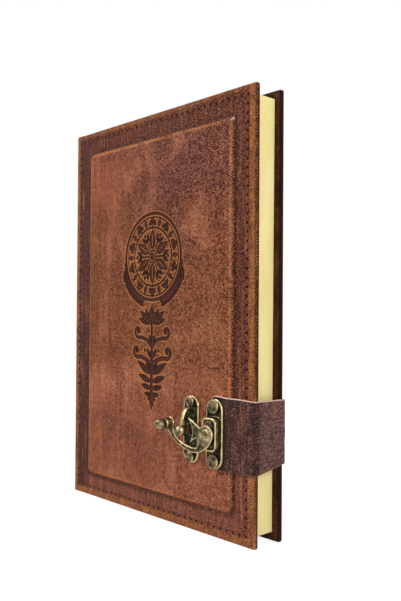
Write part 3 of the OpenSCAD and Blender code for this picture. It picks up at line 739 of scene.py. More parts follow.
# %% [markdown]
# A plan point and a row make one point of the leather. The fore-edge corners are eased
# by a small radius, as they are where four layers of leather meet.

# %% Points of the case
def case_points(plan, rows):
    """Points of these rows, how far each lies inside the panel, and inside the drawing."""
    x, y, sx, sy, amount, kind = [np.repeat(c[None, :], len(rows), 0) for c in plan.T]
    z = np.repeat(row_z[rows][:, None], plan.shape[0], 1)
    sunk = np.repeat(row_in[rows][:, None], plan.shape[0], 1) * amount
    relief = np.zeros(x.shape)
    inside, pressed = np.full(x.shape, -9.0), np.full(x.shape, -1.0)
    front, back = kind == 1, kind == 2
    if front.any():
        relief[front], inside[front], pressed[front] = front_relief(x[front], z[front])
    if back.any():
        relief[back] = back_relief(x[back], z[back])
    relief *= 1 - np.clip(sunk / EDGE_R, 0, 1)
    y = y + np.where(front, -relief, 0) + np.where(back, relief, 0)
    ends = np.maximum(0, np.maximum(z - HEIGHT + CORNER_R, CORNER_R - z))
    eased = CORNER_R - np.sqrt(np.maximum(CORNER_R ** 2 - ends ** 2, 0))
    x = x - eased * smooth_step((x - (WIDTH - 9)) / 9)
    points = np.stack([x + sx * sunk, y + sy * sunk, z], 2)
    return points, inside, pressed

rows_all = np.arange(len(row_z))
case_front, case_inside, case_pressed = case_points(dense, rows_all)
case_back, _, _ = case_points(sparse, np.array(few))

def case_faces():
    m, nd, ns = len(rows_all), len(dense), len(sparse)
    ahead = lambda r, c: r * nd + c
    behind = lambda r, c: m * nd + r * ns + c
    faces = []
    for at, rows, columns in ((ahead, m, nd), (behind, len(few), ns)):
        faces += [(at(r, c), at(r, c + 1), at(r + 1, c + 1), at(r + 1, c))
                  for r in range(rows - 1) for c in range(columns - 1)]
    for r in range(len(few) - 1):
        between = range(few[r], few[r + 1] + 1)
        for c, d in ((nd - 1, 0), (0, ns - 1)):
            faces.append(tuple(ahead(k, c) for k in between) + (behind(r + 1, d), behind(r, d)))
    for r, k in ((0, 0), (len(few) - 1, m - 1)):
        faces.append(tuple(ahead(k, c) for c in range(nd))
                     + tuple(behind(r, c) for c in range(ns)))
    return faces

case = add_piece("leather_case", np.concatenate([case_front.reshape(-1, 3),
                                                 case_back.reshape(-1, 3)]), case_faces())
rest = case_back.shape[0] * case_back.shape[1]
set_attribute(case, "inside", np.concatenate([case_inside.ravel(), np.full(rest, -9.0)]))
set_attribute(case, "pressed", np.concatenate([case_pressed.ravel(), np.full(rest, -1.0)]))
place_piece(case, "book", "cover_leather", "cover_leather")
print("case has", len(case.data.polygons), "faces")

# %% [markdown]
# ## Oiled leather
# The hide is dyed brown, waxed, and rubbed so that high places turn tan while folds stay
# dark; the raised edge of the panel also gets a painted highlight and its foot painted
# shade. Its grain is fine wrinkles about a millimetre apart, with painted sheen on their
# ridges. On a real hide they turn from patch to patch, so two sets of wavy lines take
# turns here, broken up by noise; one even pattern of cells would look like plastic.

# %% Leather grain
def leather_grain(finish, apart_mm, turn=0.0, lines_share=0.34):
    """Wrinkles that lie one way in some patches and the other way in the next."""
    ways = [finish.wrinkles(apart_mm, apart_mm * 2.2, 5.5, finish.stretched(1, 1, 1, turn + lie))
            for lie in (-0.55, 0.6)]
    patch = finish.spread(finish.noise(apart_mm * 2.4, 3, 0.65), 0.4, 0.6)
    lay = finish.math("MULTIPLY_ADD", patch, finish.math("SUBTRACT", ways[1], ways[0]), ways[0])
    breaks = finish.noise(apart_mm * 0.85, 3, 0.7, 0.7)
    grain = finish.math("MULTIPLY_ADD", breaks, 1.7, finish.math("MULTIPLY", lay, lines_share))
    return finish.spread(grain, 0.72, 1.32)

print("leather grain ready")

# %% [markdown]
# Needle holes are too small for the mesh alone, so the shader paints their shadow dark and
# pits them with a bump. Their places along the sewn rows follow from the pitch, so the
# shader finds them by counting stitches from the row's start.

# %% Needle holes in the shader
NEEDLE_R = 0.7

def row_of_holes(finish, along, across, start, end, line):
    """Painted shadow: dark spots at the stitches' ends on the line across == line, from start to
    end.
    """
    step = (end - start) / round((end - start) / STITCH_PITCH)
    counted = finish.math("DIVIDE", finish.minus(along, start), step)
    off = finish.times(finish.minus(counted, finish.math("ROUND", counted)), step)
    distance = finish.distance(off, finish.minus(across, line))
    spot = finish.spread(distance, NEEDLE_R * 0.55, NEEDLE_R * 1.3, 1.0, 0.0)
    inside = finish.times(finish.math("GREATER_THAN", counted, -0.3),
                          finish.math("LESS_THAN", counted, (end - start) / step + 0.3))
    return finish.times(spot, inside)

def sewn_holes(finish):
    x, z = finish.axis("X"), finish.axis("Z")
    across_rows = [row_of_holes(finish, x, z, ROW_X0, ROW_X1, line) for line in (ROW_Z0, ROW_Z1)]
    upright_rows = [row_of_holes(finish, z, x, ROW_Z0, ROW_Z1, line) for line in (ROW_X0, ROW_X1)]
    return finish.most(finish.most(*across_rows), finish.most(*upright_rows))

print("needle holes", NEEDLE_R, "mm in radius")

# %% [markdown]
# The colour is built in layers, in the order of the real work. The dye comes first: broad
# clouds of plum, gold and rose on the panel, violet brown on the border, and streaks
# where the sponge was dragged up the hide.

# %% Dyes of the case
# Several colours also paint light: the darkest line colour is painted shade at the panel's foot
# and at the back cover's inner fore-edge, besides dye streaks; the near-black one is painted
# shade on the walls of the press marks and darkens the spine's shoulder; the turned-in brown is
# dark dye with painted shade inside the case; the hole colour is painted shadow in the needle
# holes; the light colour is pale dye and painted sheen on the grain's ridges.
SADDLE = {name: seen_colour(*rgb) for name, rgb in {
    "plum": (86, 40, 36), "gold": (112, 60, 28), "rose": (140, 76, 52), "tan": (192, 122, 66),
    "shade": (36, 13, 9), "light": (208, 136, 100), "border": (84, 40, 26),
    "violet": (66, 32, 31), "line": (26, 8, 6), "edge": (160, 98, 46), "low": (122, 68, 54),
    "press": (68, 33, 31), "near_black": (20, 7, 9), "turned": (46, 23, 10), "hole": (8, 3, 3),
    "frayed": (214, 190, 172)}.items()}

def coats(leather, dye, *layers):
    """Lays colours over a dye; a layer is a colour's name and how much of it covers."""
    for name, cover in layers:
        dye = leather.mix(dye, SADDLE[name], cover)
    return dye

def panel_dye(leather, x, z):
    """Plum at the top right, golden across the middle and rose below and at the left."""
    times, spread = leather.times, leather.spread
    height = leather.plus(z, times(leather.minus(leather.noise(34, 3), 0.5), 110))
    # Rose over the upper left of the panel.
    upper_left_rose = times(spread(height, 138, 176), spread(x, 84, 30))
    blotch = leather.noise(26, 3, 0.5, 0.4)
    drag = leather.noise(2.6, 4, 0.62, where=leather.stretched(z=0.08))
    return coats(leather, SADDLE["rose"], ("gold", spread(height, 52, 104)),
                 ("plum", times(spread(height, 118, 168), spread(x, 30, 88, 0.25, 1.0))),
                 ("rose", times(upper_left_rose, 0.9)),
                 ("shade", spread(blotch, 0.5, 0.3, 0.0, 0.42)),
                 ("light", spread(blotch, 0.5, 0.7, 0.0, 0.32)),
                 ("shade", spread(drag, 0.5, 0.32, 0.0, 0.38)),
                 ("light", spread(drag, 0.54, 0.72, 0.0, 0.22)))

def border_dye(leather, x, z):
    """Violet brown at the foot of the panel, with the outer strips rubbed golden."""
    times, most, spread = leather.times, leather.most, leather.spread
    lower = most(spread(z, 15, 10), times(spread(z, 62, 30), spread(x, 90, 130)))
    right = times(spread(x, ROW_X1 + 0.4, ROW_X1 + 2.2), spread(x, WIDTH - 0.4, WIDTH - 1.5))
    ends = most(spread(z, ROW_Z1 + 1.4, ROW_Z1 + 3.4, 0.0, 0.6),
                spread(z, ROW_Z0 + 0.2, ROW_Z0 - 2.0, 0.0, 0.9))
    left = spread(x, ROW_X0 + 1.0, ROW_X0 - 0.8, 0.0, 0.8)
    patchy = spread(leather.noise(6, 4, 0.62), 0.32, 0.62, 0.4, 1.0)
    drag = leather.noise(1.6, 4, 0.62, where=leather.stretched(z=0.08))
    return coats(leather, SADDLE["border"], ("low", lower), ("violet", spread(x, 19, 14)),
                 ("edge", times(most(right, most(ends, left)), patchy)),
                 ("line", spread(drag, 0.5, 0.34, 0.0, 0.45)),
                 ("light", spread(drag, 0.52, 0.68, 0.0, 0.3)),
                 ("near_black", spread(x, 2.8, 1.0, 0.0, 0.8)))

print(len(SADDLE), "leather colours")

# %% [markdown]
# Hands and shelves do the next part. The raised edge of the panel is rubbed tan and also
# carries a painted highlight, strongest at the top; something once lay on the cover and left
# a faint corner, and there is one short scratch. Wear of this kind, and that highlight,
# belong to places, so they are written as distances from the panel's edges.

# %% Wear, painted crest highlight and old marks
MARK_X, MARK_Z = 49.0, 51.8
SCRATCH_X0, SCRATCH_X1, SCRATCH_Z = 118.5, 127.5, 79.5

def crest_rub_and_highlight(leather, x, z, inside):
    """The panel's edge is rubbed light and carries a painted highlight: well at the top and
    right, thinly elsewhere.
    """
    side = 0.0
    for value, edge, way, amount in ((z, PANEL_Z1, -1, 0.8), (x, PANEL_X0, 1, 0.55),
                                     (x, PANEL_X1, -1, 0.7), (z, PANEL_Z0, 1, 0.4)):
        near = leather.spread(value, edge + 3.2 * way, edge + 2.2 * way, 0.0, amount)
        side = leather.most(side, near)
    band = leather.times(leather.spread(inside, 0.5, 1.2),
                         leather.spread(inside, 1.5, 2.8, 1.0, 0.0))
    uneven = leather.spread(leather.noise(10, 4, 0.62), 0.34, 0.6, 0.2, 1.0)
    return leather.times(leather.times(band, side), uneven)

def faint_line(leather, across, at, width, along, begins, ends):
    """A line on across == at, which fades in over begins and out over ends."""
    off = leather.math("ABSOLUTE", leather.minus(across, at))
    run = leather.times(leather.spread(along, *begins), leather.spread(along, *ends))
    return leather.times(leather.spread(off, *width), run)

def old_marks(leather, x, z):
    """A faint corner left by a frame that lay on the panel, and one short scratch."""
    waver = leather.times(leather.minus(leather.noise(5, 2), 0.5), 0.8)
    wavy_x, wavy_z = leather.plus(x, waver), leather.plus(z, waver)
    upright = faint_line(leather, wavy_x, MARK_X, (0.5, 0.15), z,
                         (MARK_Z - 0.4, MARK_Z + 0.4), (MARK_Z + 24, MARK_Z + 12))
    flat = faint_line(leather, wavy_z, MARK_Z, (0.5, 0.15), x,
                      (MARK_X - 0.4, MARK_X + 0.4), (MARK_X + 20, MARK_X + 6))
    scratch = faint_line(leather, wavy_z, SCRATCH_Z, (0.6, 0.2), x,
                         (SCRATCH_X0 - 0.5, SCRATCH_X0 + 1.5),
                         (SCRATCH_X1 + 0.5, SCRATCH_X1 - 1.5))
    faint = leather.times(leather.most(upright, flat), 0.4)
    return leather.most(faint, leather.times(scratch, 0.7))

print("old corner mark at", (MARK_X, MARK_Z), "and scratch at height", SCRATCH_Z)

# %% [markdown]
# Last come the wrinkles with painted sheen on their ridges, the painted shade at the foot
# of the panel, the press marks, darkened on their walls partly by the hot plate and partly
# by painted shade, with their burnished halo, the darker turned-in edges and back, which
# are dark dye with painted shade inside the case, and the needle holes with their painted
# shadow. The bumps are stacked from broad to fine: slow waves of the hide, the grain, then
# the holes.

# %% Leather of the case
def case_finish():
    leather = Finish("oiled_leather", Specular_IOR_Level=0.08)
    times, minus, spread = leather.times, leather.minus, leather.spread
    x, y, z = (leather.axis(name) for name in "XYZ")
    inside, pressed = leather.attribute("inside"), leather.attribute("pressed")
    # The needle holes are painted near-black as their shadow, and pitted with a bump.
    grain, holes = leather_grain(leather, 1.1), sewn_holes(leather)
    deep = spread(x, 12, 100, 0.62, 1.0)
    dark = times(spread(grain, 0.55, 0.1), deep)
    # Painted sheen: the grain's ridges are lighter, more on the panel than on the border.
    light = times(spread(grain, 0.5, 0.95), deep)
    # Painted shade: a dark line at the foot of the panel, strongest on its right and lower sides.
    foot = times(spread(inside, 0.45, -0.2), spread(inside, -3.0, -1.2))
    shaded_sides = leather.most(spread(x, PANEL_X1 - 1, PANEL_X1, 0.0, 0.8),
                         spread(z, PANEL_Z0 + 1, PANEL_Z0, 0.3, 0.55))
    in_front = spread(y, 0.6, 0.3)
    corner = leather.distance(minus(x, PANEL_X1 - 0.9), minus(z, PANEL_Z1 - 1.2))
    frayed = leather.math("MULTIPLY_ADD", leather.noise(1.2, 3), 1.6, corner)
    # Darker along the walls of the press marks: partly the heated plate's scorch, partly painted
    # shade.
    rim = times(spread(pressed, -0.2, 0.0), spread(pressed, 0.2, 0.5, 1.0, 0.1))
    # Darker on all leather behind the front face: dark dye on the spine and back, and painted
    # shade on the inner faces inside the case.
    turned = times(spread(y, 0.35, 1.0), spread(leather.noise(9, 4, 0.6), 0.3, 0.7, 1.0, 0.7))
    # Painted shade: near-black along the back cover's inner fore-edge, in the gap beside the
    # pages.
    rear_edge_shade = times(spread(y, THICK - COVER_T - 0.5, THICK - COVER_T),
                 spread(x, WIDTH - 1.6, WIDTH - 0.6))
    dye = leather.mix(border_dye(leather, x, z), panel_dye(leather, x, z),
                      spread(inside, -0.1, 0.7))
    # Tan on the panel's crest is rubbed wear and painted highlight together.
    dye = coats(leather, dye, ("tan", crest_rub_and_highlight(leather, x, z, inside)),
                ("line", times(foot, shaded_sides)), ("shade", times(dark, 0.66)),
                ("light", times(light, spread(inside, -0.5, 1.2, 0.24, 0.42))),
                ("frayed", times(spread(frayed, 1.9, 1.2, 0.0, 0.62), in_front)),
                ("shade", times(old_marks(leather, x, z), in_front)),
                ("tan", spread(pressed, -0.95, -0.35, 0.0, 0.5)),
                ("press", spread(pressed, -0.12, 0.1, 0.0, 0.92)),
                ("near_black", times(rim, 0.85)), ("turned", turned),
                ("line", times(rear_edge_shade, 0.8)), ("hole", holes))
    leather.colour(dye)
    leather.roughness(spread(grain, 0.2, 0.9, 0.72, 0.46))
    waves = leather.bump(leather.noise(7, 3, 0.5), 0.25)
    pitted = leather.bump(grain, 0.2, waves)
    leather.bump(minus(1.0, holes), 0.5, pitted)
    return leather.material

case.data.materials.append(case_finish())
print("case finish on", case.name)

# %% [markdown]
# ## Thread
# Each stitch is a short length of waxed linen that comes out of one needle hole and goes
# back into the next. It is modelled as its own small tube, low over the leather and
# dipping at both ends, because a straight bar on the surface would look glued on.

# %% Stitch tubes
THREAD_D = 0.5
SIDES = np.linspace(0, 2 * math.pi, 8, endpoint=False)
ALONG = np.array([-0.5, -0.46, -0.36, -0.18, 0.0, 0.18, 0.36, 0.46, 0.5])
LIFT = np.array([-0.85, -0.45, 0.0, 0.16, 0.2, 0.16, 0.0, -0.45, -0.85])
FULL = np.array([0.55, 0.8, 0.95, 1.0, 1.0, 1.0, 0.95, 0.8, 0.55])

def stitch_tube(x, z, upright, length, face_y, out, sag):
    """A tube of thread; out is -1 for the front of the book and 1 for the back."""
    rings = []
    wobble = rng.normal(0, 0.05, 2)
    for along, lift, full in zip(ALONG, LIFT, FULL):
        a = along * length
        level = face_y + out * (sag + lift * 0.42)
        across = THREAD_D / 2 * full * np.cos(SIDES) + wobble[0] + wobble[1] * along
        high = out * THREAD_D / 2 * full * np.sin(SIDES)
        if upright:
            ring = np.stack([x + across, level + high, np.full(8, z + a)], 1)
        else:
            ring = np.stack([np.full(8, x + a), level + high, z + across], 1)
        rings.append(ring)
    return loft(rings)

def stitch_places(x0, z0, x1, z1, pitch):
    nx, nz = round((x1 - x0) / pitch), round((z1 - z0) / pitch)
    px, pz = (x1 - x0) / nx, (z1 - z0) / nz
    places = [(x0 + (i + 0.5) * px, z, False, px) for i in range(nx) for z in (z0, z1)]
    places += [(x, z0 + (i + 0.5) * pz, True, pz) for i in range(nz) for x in (x0, x1)]
    return places

def sew(name, node, places, face_y, out, sag):
    tubes = [stitch_tube(x, z, upright, pitch * 0.78, face_y, out, sag)
             for x, z, upright, pitch in places]
    piece = add_piece(name, *join_parts(tubes))
    place_piece(piece, "book", "thread", node)
    return piece

cover_row = stitch_places(ROW_X0, ROW_Z0, ROW_X1, ROW_Z1, STITCH_PITCH)
front_thread = sew("front_thread", "front_stitching", cover_row, 0.0, -1, -0.16)
back_thread = sew("back_thread", "back_stitching", cover_row, THICK, 1, -0.16)
print(len(cover_row), "stitches round each cover")

# %% [markdown]
# Waxed thread is two strands twisted together, so the shader lays diagonal turns along
# each stitch and breaks them with a little fuzz.

# %% Thread finish
def thread_finish():
    thread = Finish("waxed_thread", Specular_IOR_Level=0.3)
    along = thread.plus(thread.plus(thread.axis("X"), thread.axis("Z")), thread.axis("Y"))
    twist = thread.math("SINE", thread.times(along, 9.0))
    fuzz = thread.noise(0.3, 3)
    strand = thread.math("MULTIPLY_ADD", twist, 0.25, fuzz)
    thread.colour(thread.ramp(strand, (0.25, seen_colour(72, 34, 22)),
                              (0.75, seen_colour(146, 82, 52))))
    thread.roughness(thread.spread(fuzz, 0.2, 0.8, 0.6, 0.8))
    thread.bump(strand, 0.08)
    return thread.material

rust_thread = thread_finish()
for piece in (front_thread, back_thread):
    piece.data.materials.append(rust_thread)
print("thread finish", rust_thread.name)

# %% [markdown]
# ## Pages
# Two hundred sheets are folded into thin sections and sewn. Seen from outside the block
# is a stack of fine lines, so the piece is a stack of leaves a fifth of a millimetre
# thick, each a hair longer or shorter than the next, and the shader adds single sheets.

# %% Page leaves
LEAN = 0.85

def leaves():
    count = 64
    edges = np.linspace(block_low[1], block_high[1], count + 1)
    shells = []
    for y0, y1 in zip(edges, edges[1:]):
        trim = rng.normal(0, 0.035, 3)
        x0, x1 = block_low[0], block_high[0] - 0.1 + np.clip(trim[0], -0.06, 0.06)
        z0 = block_low[2] + 0.05 + np.clip(trim[1], -0.05, 0.05)
        z1 = block_high[2] - 0.05 + np.clip(trim[2], -0.05, 0.05)
        ring = np.array([(x0, z0), (x1, z0), (x1 + LEAN, z1), (x0, z1)])
        shells.append(loft([np.stack([ring[:, 0], np.full(4, y), ring[:, 1]], 1)
                            for y in (y0, y1)]))
    return join_parts(shells)

pages = add_piece("pages", *leaves(), smooth=False)
place_piece(pages, "book", "paper", "page_block")

def paper_finish():
    paper = Finish("cream_paper", Roughness=0.85, Specular_IOR_Level=0.2)
    sheets = paper.noise(0.16, 2, 0.6, where=paper.stretched(0.02, 1.0, 0.02))
    tone = paper.noise(26, 3, 0.5, where=paper.stretched(0.4, 3.0, 1.0))
    cream = paper.ramp(tone, (0.3, seen_colour(230, 214, 147)), (0.7, seen_colour(238, 225, 162)))
    line = paper.spread(sheets, 0.34, 0.5, 0.1, 0.0)
    paper.colour(paper.mix(cream, seen_colour(196, 172, 108), line))
    paper.bump(sheets, 0.05)
    return paper.material

pages.data.materials.append(paper_finish())
print("pages", len(pages.data.polygons), "faces")

# %% [markdown]
# ## Boards, linings and endpapers
# These stay as the CAD solids, because flat card is what they are. They still get the
# fibres of grey board, the laid lines of endpaper and the weave of lining cloth, for the
# view into the head of the book.

# %% Inner finishes
def fibre_finish(name, dull, grain, stretch, dark, light, rise_mm):
    """Board or paper whose fibres are a stretched noise of two colours."""
    sheet = Finish(name, Roughness=dull, Specular_IOR_Level=0.2)
    fibre = sheet.noise(*grain, where=sheet.stretched(*stretch))
    sheet.colour(sheet.ramp(fibre, (0.3, seen_colour(*dark)), (0.7, seen_colour(*light))))
    sheet.bump(fibre, rise_mm)
    return sheet.material

def cloth_finish():
    cloth = Finish("lining_cloth", Roughness=0.9, Specular_IOR_Level=0.2)
    warp, weft = (cloth.math("SINE", cloth.times(cloth.axis(name), 9.0)) for name in "ZY")
    weave = cloth.math("MULTIPLY_ADD", warp, 0.25, cloth.math("MULTIPLY_ADD", weft, 0.25, 0.5))
    cloth.colour(cloth.ramp(weave, (0.2, seen_colour(168, 158, 132)),
                            (0.8, seen_colour(206, 198, 172))))
    cloth.bump(weave, 0.08)
    return cloth.material

def refinish(nodes, material):
    for node in nodes:
        slots = frame["nodes"][node].data.materials
        slots.clear()
        slots.append(material)

refinish(("front_board", "back_board", "spine_board", "front_panel", "front_infill",
          "back_infill"), fibre_finish("grey_board", 0.9, (1.1, 5, 0.65), (0.4, 1.0, 1.0),
                                       (128, 114, 92), (166, 150, 122), 0.08))
refinish(("front_endpaper", "back_endpaper"),
         fibre_finish("endpaper", 0.85, (0.9, 3, 0.6), (1.0, 1.0, 0.1),
                      (226, 208, 150), (238, 222, 166), 0.03))
refinish(("spine_lining",), cloth_finish())
print("inner pieces refinished")

# %% [markdown]
# ## Strap
# The strap is thicker, darker leather than the case, cut with a knife so its raw edge
# shows pale. It starts under the hook plate, steps down from the panel, bends round both
# fore-edge corners and ends sewn to the back. One section with rounded cut edges is swept
# along that path, so the leather keeps an even thickness through every bend.

# %% Path of the strap
STRAP_T = 1.3
BAND_X0 = (base_low[0] + base_high[0]) / 2 - 4.2
TAIL_X = WIDTH - 42.0
STEP_L = 4.5
CLASP_Z = float(PIVOT[2])
STRAP_H, STRAP_MID_H, STRAP_BACK_H, BACK_DROP = 34.4, 33.3, 29.6, 0.3
END_R, STRAP_UP = 4.2, 0.3

def fore_bend(y, start):
    """A quarter turn round one of the two fore-edge corners."""
    return [(fore + EDGE_R * math.cos(a), y + EDGE_R * math.sin(a), math.cos(a), math.sin(a))
            for a in np.radians(np.linspace(start, start + 90, 7))]

def strap_path():
    """Inner side of the strap: x, y, the way its thickness lies and the run so far."""
    flat = lines((BAND_X0, 0.5), (BAND_X0 + 4, 1.2), (PANEL_X1, 1))[:-1]
    line = [(x, -PANEL_H, 0, -1) for x in flat]
    for t in np.linspace(0, 1, 9)[:-1]:
        fall = math.pi / 2 * PANEL_H / STEP_L * math.sin(math.pi * t)
        line.append((PANEL_X1 + t * STEP_L, -PANEL_H * (1 + math.cos(math.pi * t)) / 2,
                     math.sin(fall), -math.cos(fall)))
    line += [(x, 0, 0, -1) for x in lines((PANEL_X1 + STEP_L, 1.2), (WIDTH - EDGE_R, 1))[:-1]]
    line += fore_bend(EDGE_R, -90)
    line += [(WIDTH, y, 1, 0) for y in lines((EDGE_R, 1.2), (THICK - EDGE_R, 1))[1:-1]]
    line += fore_bend(THICK - EDGE_R, 0)
    line += [(x, THICK, 0, 1) for x in lines((WIDTH - EDGE_R, 2.0), (TAIL_X, 1))[1:]]
    line = np.array(line)
    run = np.concatenate([[0], np.cumsum(np.hypot(*np.diff(line[:, :2], axis=0).T))])
    return line, run

band_line, band_run = strap_path()

def strap_ends(line):
    """Top and bottom edge of the strap at each step of its path."""
    x, y, ny = line[:, 0], line[:, 1], line[:, 3]
    front = STRAP_MID_H / 2 + (STRAP_H - STRAP_MID_H) / 2 * smooth_step(
        (WIDTH - x) / (WIDTH - BAND_X0))
    side = np.clip(y / THICK, 0, 1)
    top = np.where(ny < -0.5, front, STRAP_MID_H / 2 - BACK_DROP * side)
    low = np.where(ny < -0.5, -front, -STRAP_MID_H / 2
                   + (STRAP_MID_H - BACK_DROP - STRAP_BACK_H) * side)
    near_end = np.clip(END_R - (x - BAND_X0), 0, END_R) * (ny < -0.5)
    eased = END_R - np.sqrt(END_R ** 2 - near_end ** 2)
    return CLASP_Z + STRAP_UP + top - eased, CLASP_Z + STRAP_UP + low + eased

band_top, band_bottom = strap_ends(band_line)
print("strap runs", round(float(band_run[-1]), 1), "mm")

# %% [markdown]
# Round the section go the outer face, a rounded cut edge, the inner face and the other
# edge. A slight waviness of the cut and fullness of the face come from smooth noise in
# the mesh, which keeps the outline from looking machined.

# %% Strap band
def wavy(values, seed, size):
    steps = np.arange(-8, 200)
    knots = np.random.default_rng(seed).normal(0, 1, len(steps))
    return np.interp(values / size, steps, knots) * 0.5 + 0.5 * np.interp(
        values / size * 2.3 + 31, steps, knots)

CUT_R, FACE_IN = 0.34, 0.05
FACE_STEPS = np.linspace(0, 1, 25)
CUT_TURN = np.radians([15, 40, 65])

def strap_section(z0, z1, run):
    """Height, depth and rawness of the points round the strap, from its outer face on."""
    ruck = 0.05 * np.sin(FACE_STEPS * 21 + run * 0.5) + 0.04 * np.sin(
        FACE_STEPS * 9 - run * 0.9)
    edge = np.minimum(FACE_STEPS, 1 - FACE_STEPS) * (z1 - z0)
    ruck = ruck * smooth_step(edge / 3)
    tall = z1 - z0 - 2 * CUT_R
    outer = [(z0 + CUT_R + t * tall, STRAP_T + r, 0.0)
             for t, r in zip(FACE_STEPS, ruck - FACE_IN)]
    bends = [(CUT_R * math.sin(a), CUT_R * math.cos(a)) for a in CUT_TURN]
    top = [(z1 - CUT_R + s, STRAP_T - FACE_IN - (CUT_R - c), 0.75) for s, c in bends]
    top += [(z1, STRAP_T * 0.5, 1.0)]
    top += [(z1 - CUT_R + c, CUT_R - s, 1.0) for s, c in bends]
    inner = [(z1 - CUT_R - t * tall, 0.0, 0.2) for t in np.linspace(0, 1, 9)]
    low = [(z0 + CUT_R - s, CUT_R - c, 1.0) for s, c in bends]
    low += [(z0, STRAP_T * 0.5, 1.0)]
    low += [(z0 + CUT_R - c, STRAP_T - FACE_IN - (CUT_R - s), 0.75) for s, c in bends]
    return outer + top + inner + low

def strap_rings():
    rings, cut, below = [], [], []
    top_wave = wavy(band_run, 3, 5.0) * 0.14
    low_wave = wavy(band_run, 5, 6.0) * 0.14
    for k, (x, y, nx, ny) in enumerate(band_line):
        held = 0.85 if band_run[k] < 6.5 else 1.0
        z0, z1 = band_bottom[k] + low_wave[k] * held, band_top[k] + top_wave[k] * held
        section = strap_section(z0, z1, band_run[k])
        rings.append(np.array([(x + nx * d, y + ny * d, z) for z, d, _ in section]))
        cut += [c for _, _, c in section]
        below += [z1 - z for z, _, _ in section]
    return rings, cut, below

strap_loops, strap_cut, strap_below = strap_rings()
strap = add_piece("strap_band", *loft(strap_loops))
set_attribute(strap, "cut", strap_cut)
set_attribute(strap, "below_top", strap_below)
sharpen(strap, 60)
place_piece(strap, "book", "strap_leather", "strap")

tail_mid = CLASP_Z + STRAP_MID_H / 2 - BACK_DROP - STRAP_BACK_H / 2
strap_row = stitch_places(TAIL_X + 4, tail_mid - STRAP_BACK_H / 2 + 4,
                          TAIL_X + 4 + 6 * STITCH_PITCH, tail_mid + STRAP_BACK_H / 2 - 4,
                          STITCH_PITCH)
strap_thread = sew("strap_thread", "strap_stitching", strap_row, THICK + STRAP_T, 1, 0.16)
strap_thread.data.materials.append(rust_thread)
print("strap", len(strap.data.polygons), "faces,", len(strap_row), "stitches")

# %% [markdown]
# The strap wears differently from the case. It is darkest beside the hook plate, where a
# shadow of the plate is painted, and palest over the fore-edge, with upright creases in
# front that get painted shade in their folds and painted highlight on their ridges, and
# painted sheen on the grain. The knife left its rim raw, so a pale ragged lip shows along
# the top, and the raw edge is painted paler at the top than at the bottom, as light from
# above makes it.

# %% Strap finish
def strap_finish():
    leather = Finish("strap_leather", Specular_IOR_Level=0.15)
    times, spread, mix, noise = leather.times, leather.spread, leather.mix, leather.noise
    x, y, z = (leather.axis(name) for name in "XYZ")
    # Painted sheen: the grain's ridges are mixed paler below.
    grain = leather_grain(leather, 0.95, 0.5, 0.24)
    front = spread(x, WIDTH - 0.5, WIDTH - 3)
    # Creases: painted shade in their folds and painted highlight on their ridges, over their own
    # bump.
    creases = noise(1.5, 4, 0.6, 0.4, leather.stretched(z=0.12))
    worn = times(spread(x, PANEL_X1 + 0.5, PANEL_X1 + 4),
                 times(front, spread(noise(5, 3), 0.35, 0.65)))
    # Painted shadow of the hook plate: near-black under and beside it on the front.
    plate_shadow = times(spread(x, BAND_X0 + 13, BAND_X0 + 8.5), spread(y, 3.0, 1.0, 0.0, 0.75))
    body = leather.ramp(noise(11, 4, 0.55, 0.4), (0.30, seen_colour(26, 12, 10)),
                        (0.5, seen_colour(56, 29, 23)), (0.68, seen_colour(88, 50, 42)))
    for tone, cover in (
            ((132, 92, 84), spread(y, 0.5, 3.0, 0.0, 0.58)),
            ((124, 76, 60), times(worn, 0.5)),
            ((30, 14, 12), times(spread(creases, 0.51, 0.40, 0.0, 0.85),
                                 spread(front, 0, 1, 0.3, 1.0))),
            ((140, 92, 76), times(spread(creases, 0.52, 0.64, 0.0, 0.55), front)),
            ((38, 18, 17), spread(grain, 0.55, 0.1, 0.0, 0.7)),
            ((170, 124, 112), spread(grain, 0.5, 0.95, 0.0, 0.34)),
            ((20, 10, 11), plate_shadow)):
        body = mix(body, seen_colour(*tone), cover)
    frayed = leather.minus(leather.attribute("below_top"), times(noise(1.6, 3), 0.6))
    cut = leather.most(leather.attribute("cut"), spread(frayed, -0.05, 0.28, 1.0, 0.0))
    raw = leather.ramp(noise(0.8, 4, 0.7), (0.3, seen_colour(180, 132, 114)),
                       (0.6, seen_colour(240, 204, 186)))
    # Painted light from above: the raw edge is paler at the top than at the bottom.
    raw = mix(body, raw, spread(z, CLASP_Z - 4, CLASP_Z + 4, 0.3, 1.0))
    leather.colour(mix(body, raw, spread(cut, 0.45, 0.85)))
    leather.roughness(spread(grain, 0.2, 0.9, 0.72, 0.48))
    leather.bump(grain, 0.18, leather.bump(creases, 0.35))
    return leather.material

strap.data.materials.append(strap_finish())
print("strap finish on", strap.name)

# %% [markdown]
# ## Brass pieces
# The clasp is cast and stamped brass, darkened in a bath and then rubbed, so its raised
# rims are bright and its corners are nearly black. Each brass piece measures its own
# mesh: where edges bulge outwards a point is worn, where they meet in a nook it stays
# dark, which is patina and also painted shade of the nook. That number drives the finish,
# so the same material suits every piece. The near-black end of the colours also stands in
# for dark reflections.

# %% Wear and nook shade from the shape
BLUR_ROUNDS = 2

